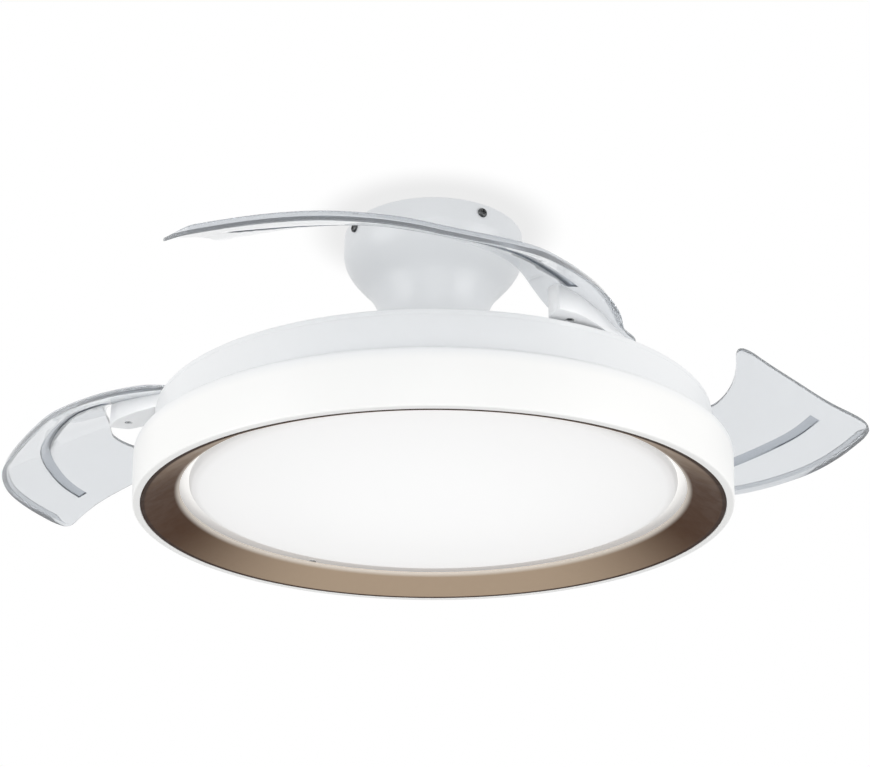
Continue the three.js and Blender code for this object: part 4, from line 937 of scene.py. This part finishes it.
def plate(shape, rings, low, high, holes=()):
    """Closed plate: a rim of matching rings round its outline, filled below and above."""
    rows = [[shape.verts.new(Vector(point) * MM) for point in ring] for ring in rings]
    for i, row in enumerate(rows):
        before = rows[i - 1]
        for j in range(len(row) - 1):
            shape.faces.new((before[j], row[j], row[j + 1], before[j + 1]))
    fill(shape, [[row[0] for row in rows], *holes], low)
    fill(shape, [[row[-1] for row in rows]], high)


# Rounded edge: the lower half as (distance inward, height over the underside) and the upper half, back
# from it, as (distance inward, depth under the top side).
EDGE_BELOW = ((2.6, 0), (1.3, 0), (0.5, 0.12), (0.12, 0.5), (0, 1.1))
EDGE_ABOVE = ((0, 1.1), (0.12, 0.5), (0.3, 0.25), (0.5, 0.12), (0.8, 0.04), (1.0, 0.01), (1.3, 0), (1.8, 0),
              (2.2, 0), (2.6, 0))


def plain_edge():
    """Points of the edge, as (distance inward, height over the underside, share of the sheet's slope)."""
    below = [(inset, height, 1) for inset, height in EDGE_BELOW]
    return below + [(inset, BLADE_SHEET - depth, 1) for inset, depth in EDGE_ABOVE]


def raised_edge(lean):
    """The same points on an edge with the upstand, which keeps level where the share is 0."""
    sheet, width = BLADE_SHEET, BLADE_LIP_WIDTH
    top = sheet + BLADE_LIP_RISE
    return (
        (6.2, 0, 1), (0.9, 0, 1), (0.3, 0.1, 1), (0.05, 0.45, 1), (0.1 * lean, 1.2, 0),
        (0.9 * lean, top - 1, 0), (lean + 0.15, top - 0.3, 0), (lean + 0.8, top, 0),
        (lean + width - 0.8, top, 0), (lean + width - 0.15, top - 0.3, 0), (0.9 * lean + width, top - 1, 0),
        (0.1 * lean + width, sheet + 1.6, 0), (width + 0.7, sheet + 0.7, 0.6), (width + 1.8, sheet + 0.1, 1),
        (6.2, sheet, 1),
    )


def lip_share(x, y):
    """How far the upstand has risen at a point of the outline: 0 for none, 1 for all."""
    if y < (along(OUTER_EDGE, x) + along(INNER_EDGE, x)) / 2:
        return 0
    return ramp(x, *LIP_STARTS) * ramp(x, *LIP_ENDS)


def blade_outline():
    """Even points clockwise round the blade: out along the outer edge and back along the inner one."""
    steps = 170
    places = [BLADE_START + (BLADE_TIP - BLADE_START) * i / steps for i in range(steps + 1)]
    outer = [Vector((x, along(OUTER_EDGE, x))) for x in places]
    inner = [Vector((x, along(INNER_EDGE, x))) for x in reversed(places)]
    return relax(resample(outer + inner, OUTLINE_STEP), OUTLINE_ROUNDING)


def blade_rings():
    outline = blade_outline()
    rings = []
    for point, normal in zip(outline, inward_normals(outline)):
        share = lip_share(*point)
        lean = BLADE_LIP_LEAN + (ROOT_LIP_LEAN - BLADE_LIP_LEAN) * ramp(point.x, *LEAN_GROWS)
        edge = blade_height(*point)
        ring = []
        for plain, raised in zip(plain_edge(), raised_edge(lean)):
            inset, height, follow = (a + (b - a) * share for a, b in zip(plain, raised))
            x, y = point + normal * inset
            ring.append((x, y, z_at(edge + follow * (blade_height(x, y) - edge) + height)))
        rings.append(ring)
    return rings


# Half of the groove's section, as (distance from its middle, depth).
GROOVE_SIDE = (
    (GROOVE_WIDTH / 2, 0), (GROOVE_WIDTH / 2 - 0.3, 0.15), (GROOVE_WIDTH / 2 - 0.7, 1.0),
    (GROOVE_WIDTH / 2 - 1.1, GROOVE_DEPTH),
)
GROOVE_END_WALL = 0.9


def groove_centre(x):
    return Vector((x, along(OUTER_EDGE, x) - GROOVE_INSET - GROOVE_DRIFT * ramp(x, *GROOVE_DRIFTS)))


def add_groove(shape):
    """Shallow channel with square ends in the underside, its faces marked for painted shade; returns its rim.
    """
    steps = 84
    length = GROOVE_TO - GROOVE_FROM
    places = [GROOVE_FROM, GROOVE_FROM + GROOVE_END_WALL]
    places += [GROOVE_FROM + length * i / steps for i in range(1, steps)]
    places += [GROOVE_TO - GROOVE_END_WALL, GROOVE_TO]
    section = [*GROOVE_SIDE, *((-distance, depth) for distance, depth in reversed(GROOVE_SIDE))]
    painted_shade = shape.faces.layers.float.new(PAINTED_SHADE_NAME)
    rows = []
    for i, place_x in enumerate(places):
        centre = groove_centre(place_x)
        direction = (groove_centre(place_x + 1) - groove_centre(place_x - 1)).normalized()
        across = Vector((-direction.y, direction.x))
        at_end = i in (0, len(places) - 1)
        row = []
        for distance, depth in section:
            x, y = centre + across * distance
            height = blade_height(x, y) + (0 if at_end else depth)
            row.append(shape.verts.new(Vector((x, y, z_at(height))) * MM))
        rows.append(row)
    for first, second in zip(rows, rows[1:]):
        for j in range(len(section) - 1):
            face = shape.faces.new((first[j], first[j + 1], second[j + 1], second[j]))
            face[painted_shade] = GROOVE_PAINTED_SHADE
    left, right = [row[0] for row in rows], [row[-1] for row in rows]
    return left + rows[-1][1:-1] + right[::-1] + rows[0][-2:0:-1]


def bore(shape, radius, low, high, segments, centre=(0, 0)):
    """Adds an upright cylinder between two heights over the rim to a cutter."""
    bottom, top = z_at(low), z_at(high)
    lathe(shape, [(0, bottom), (radius, bottom), (radius, top), (0, top)], segments, centre)


def root_holes(pin_hole):
    """Cutter for the hinge hole and the screw holes."""
    shape = bmesh.new()
    low = ARM_BOTTOM - CUT_PAST
    bore(shape, pin_hole, low, HOLE_TOP, SMALL_ROUND)
    for centre in ARM_SCREWS:
        bore(shape, ARM_SCREW_HOLE, low, HOLE_TOP, HOLE_ROUND, centre)
    return shape


def blade_mesh():
    """One blade in its own frame, with its groove; the upstand's faces are marked for a lighter painted
    shade.
    """
    shape = bmesh.new()
    groove = add_groove(shape)
    plate(shape, blade_rings(), blade_height, lambda x, y: blade_height(x, y) + BLADE_SHEET, [groove])
    painted_shade = shape.faces.layers.float[PAINTED_SHADE_NAME]
    for face in shape.faces:
        x, y, z = face.calc_center_median() / MM
        if z > z_at(blade_height(x, y) + BLADE_SHEET + LIP_FOOT):
            face[painted_shade] = LIP_PAINTED_SHADE
    blade = object_from("blade_pattern", shape)
    carve(blade, root_holes(PIN_RADIUS + RUNNING_GAP))
    return blade


def blade_matrix(k):
    x, y = pivot_place(k)
    heading = math.radians(FOLDED_HEADING + 360 / BLADE_COUNT * k + PHOTO_SWING[k])
    return Matrix.Translation((x * MM, y * MM, 0)) @ Matrix.Rotation(heading, 4, "Z")


# Plan of the arm after its round boss, as (x, y, distance that the corner is rounded over).
ARM_CORNERS = ((14, 28, 8), (42, 44, 8), (66, 53, 6), (87, 53, 4), (84, 35, 4), (64, 22, 6), (40, 4, 8))


def arm_top(x, y):
    return blade_height(x, y) - GAP


def arm_rings():
    """Rings of points round the arm's outline, from its flat underside to the blade's underside."""
    boss_steps = 35
    boss_from, boss_sweep = 300, 175
    boss = []
    for i in range(boss_steps + 1):
        angle = math.radians(boss_from - boss_sweep * i / boss_steps)
        boss.append((ARM_BOSS_RADIUS * math.cos(angle), ARM_BOSS_RADIUS * math.sin(angle), 0))
    outline = resample(soften(boss + list(ARM_CORNERS), 6), ARM_OUTLINE_STEP)
    round_over = ((2.4, 0), (1.2, 0), (0.35, 0.3), (0, 1.1))
    rings = []
    for point, normal in zip(outline, inward_normals(outline)):
        places = [(*(point + normal * inset), height) for inset, height in round_over]
        under = [(x, y, z_at(ARM_BOTTOM + height)) for x, y, height in places]
        over = [(x, y, z_at(arm_top(x, y) - height)) for x, y, height in reversed(places)]
        rings.append(under + over)
    return rings


def arm_mesh():
    """One arm in its own frame, with its holes, the spring's pocket and the screws' recesses."""
    shape = bmesh.new()
    plate(shape, arm_rings(), lambda x, y: ARM_BOTTOM, arm_top)
    arm = object_from("arm_pattern", shape)
    carve(arm, root_holes(PIN_RADIUS + GAP))
    middle, half, depth = SPRING_PLACE
    start = ARM_BOTTOM - CUT_PAST
    low, high = z_at(start), z_at(ARM_BOTTOM + depth)
    pockets = bmesh.new()
    ring = [(middle - half, low), (middle + half, low), (middle + half, high), (middle - half, high)]
    lathe(pockets, ring, SMALL_ROUND)
    recess, recess_depth = ARM_SCREW_RECESS
    for centre in ARM_SCREWS:
        bore(pockets, recess, start, ARM_BOTTOM + recess_depth, TINY_ROUND, centre)
    carve(arm, pockets)
    return arm


def copy_at(pattern, name, matrix):
    mesh = pattern.data.copy()
    mesh.transform(matrix)
    mesh.name = name
    return link(name, mesh)


def add_peg(k, matrix):
    """Peg under the arm that limits the blade's swing."""
    bearing = math.radians(PEG_BEARING)
    centre = (PEG_REACH * math.cos(bearing), PEG_REACH * math.sin(bearing))
    low, high = DISC_BOTTOM + GAP, ARM_BOTTOM - PEG_GAP
    outline = over_rim([(0, low, 0), (PEG_RADIUS, low, 0.5), (PEG_RADIUS, high, 0), (0, high, 0)])
    peg = turned(f"limit_peg_{k + 1}", soften(outline, 4, False), TINY_ROUND, centre)
    peg.data.transform(matrix)
    place(peg, "arm_smoke", f"blade_swing_{k + 1}", f"blade_arm_{k + 1}")


def add_blades():
    """Three clear blades on their arms, each arm with its limit peg."""
    blade, arm = blade_mesh(), arm_mesh()
    for k in range(BLADE_COUNT):
        body = f"blade_swing_{k + 1}"
        matrix = blade_matrix(k)
        place(copy_at(blade, f"clear_blade_{k + 1}", matrix), "blade_clear", body, f"blade_{k + 1}")
        place(copy_at(arm, f"blade_root_{k + 1}", matrix), "arm_smoke", body, f"blade_arm_{k + 1}")
        add_peg(k, matrix)
    for pattern in (blade, arm):
        bpy.data.objects.remove(pattern)


# ---------------------------------------------------------------- stage and light, in metres

FLOOR_Z = -2.4
FLOOR_RADIUS = 14
FLOOR_OWN_LIGHT = 0.8       # share of plain white in what is seen of the floor
CEILING_GAP = 0.0005        # the ceiling's shade lies this far over the ceiling plate
CEILING_RADIUS = 0.2
HALO_START = CANOPY_RADIUS * MM
HALO_END = 0.125
HALO_SHIFT = 0.011          # its middle lies this far in front of the canopy's
HALO_DARKNESS = 0.165
WORLD_LIGHT = 0.62

# Square lights that face the lamp's rim, as (name, place, side, watts).
LIGHTS = (
    ("front_light", (0.0, -2.4, -0.6), 1.8, 8),
    ("left_light", (-2.2, -1.2, -0.6), 1.6, 22),
    ("right_light", (2.2, -1.2, -0.6), 1.6, 23),
)
VIEWING_RAYS = ("Is Camera Ray", "Is Glossy Ray", "Is Transmission Ray")


def floor_material():
    """Pale floor that shows as white and keeps a soft shadow."""
    material = bpy.data.materials.new("floor")
    nodes = Nodes(material)
    paint = nodes.add("ShaderNodeBsdfDiffuse", Color=colour(0.97, 0.97, 0.97))
    light = nodes.add("ShaderNodeEmission", Color=WHITE, Strength=1.0)
    share = nodes.math("MULTIPLY", nodes.seen_directly(*VIEWING_RAYS), FLOOR_OWN_LIGHT)
    surface = nodes.mix(share, paint.outputs[0], light.outputs[0])
    nodes.add("ShaderNodeOutputMaterial", Surface=surface)
    return material


def halo_material():
    """Soft shade that the canopy throws on the ceiling; it fades out and can't be seen from above."""
    material = bpy.data.materials.new("ceiling_shade")
    nodes = Nodes(material)
    radius, _ = nodes.from_axis(-HALO_SHIFT)
    fade = nodes.spread(radius, HALO_START, HALO_END, HALO_DARKNESS, 0.0)
    from_below = nodes.math("SUBTRACT", 1.0, nodes.add("ShaderNodeNewGeometry").outputs["Backfacing"])
    direct = nodes.seen_directly("Is Camera Ray", "Is Transmission Ray")
    factor = nodes.math("MULTIPLY", nodes.math("MULTIPLY", fade, from_below), direct)
    open_air = nodes.add("ShaderNodeBsdfTransparent")
    dark = nodes.add("ShaderNodeEmission", Color=BLACK, Strength=0.0)
    surface = nodes.mix(factor, open_air.outputs[0], dark.outputs[0])
    nodes.add("ShaderNodeOutputMaterial", Surface=surface)
    return material


def add_round_sheet(name, radius, z, material, facing_down=False):
    """Flat disc of the stage."""
    segments = 96
    angles = [2 * math.pi * i / segments for i in range(segments)]
    points = [(radius * math.cos(angle), radius * math.sin(angle), z) for angle in angles]
    face = list(range(segments))
    mesh = bpy.data.meshes.new(name)
    mesh.from_pydata(points, [], [face[::-1] if facing_down else face])
    mesh.materials.append(material)
    thing = link(name, mesh)


def add_world():
    """Even light on the object, before a background that shows as white."""
    world = bpy.data.worlds.new("studio")
    bpy.context.scene.world = world
    nodes = Nodes(world)
    seen = nodes.add("ShaderNodeBackground", Color=WHITE, Strength=1.0)
    lighting = nodes.add("ShaderNodeBackground", Color=WHITE, Strength=WORLD_LIGHT)
    surface = nodes.mix(nodes.seen_directly(*VIEWING_RAYS), lighting.outputs[0], seen.outputs[0])
    nodes.add("ShaderNodeOutputWorld", Surface=surface)


def add_light(name, place_at, side, watts):
    data = bpy.data.lights.new(name, "AREA")
    data.shape = "SQUARE"
    data.size = side
    data.energy = watts
    light = link(name, data)
    light.location = place_at
    aim = Vector((0, 0, RIM_Z * MM)) - Vector(place_at)
    light.rotation_euler = aim.to_track_quat("-Z", "Y").to_euler()


def add_stage():
    add_round_sheet("floor", FLOOR_RADIUS, FLOOR_Z, floor_material())
    add_round_sheet("ceiling_shade", CEILING_RADIUS, CEILING_GAP, halo_material(), facing_down=True)
    add_world()
    for light in LIGHTS:
        add_light(*light)


# ---------------------------------------------------------------- assembly

bpy.context.scene.view_settings.view_transform = "Standard"
add_camera()
add_stage()
finish_nodes()
add_canopy()
add_canopy_screws()
add_shade()
add_trim()
add_diffuser()
add_disc()
for blade_number in range(BLADE_COUNT):
    add_boss_and_pin(blade_number)
add_blades()
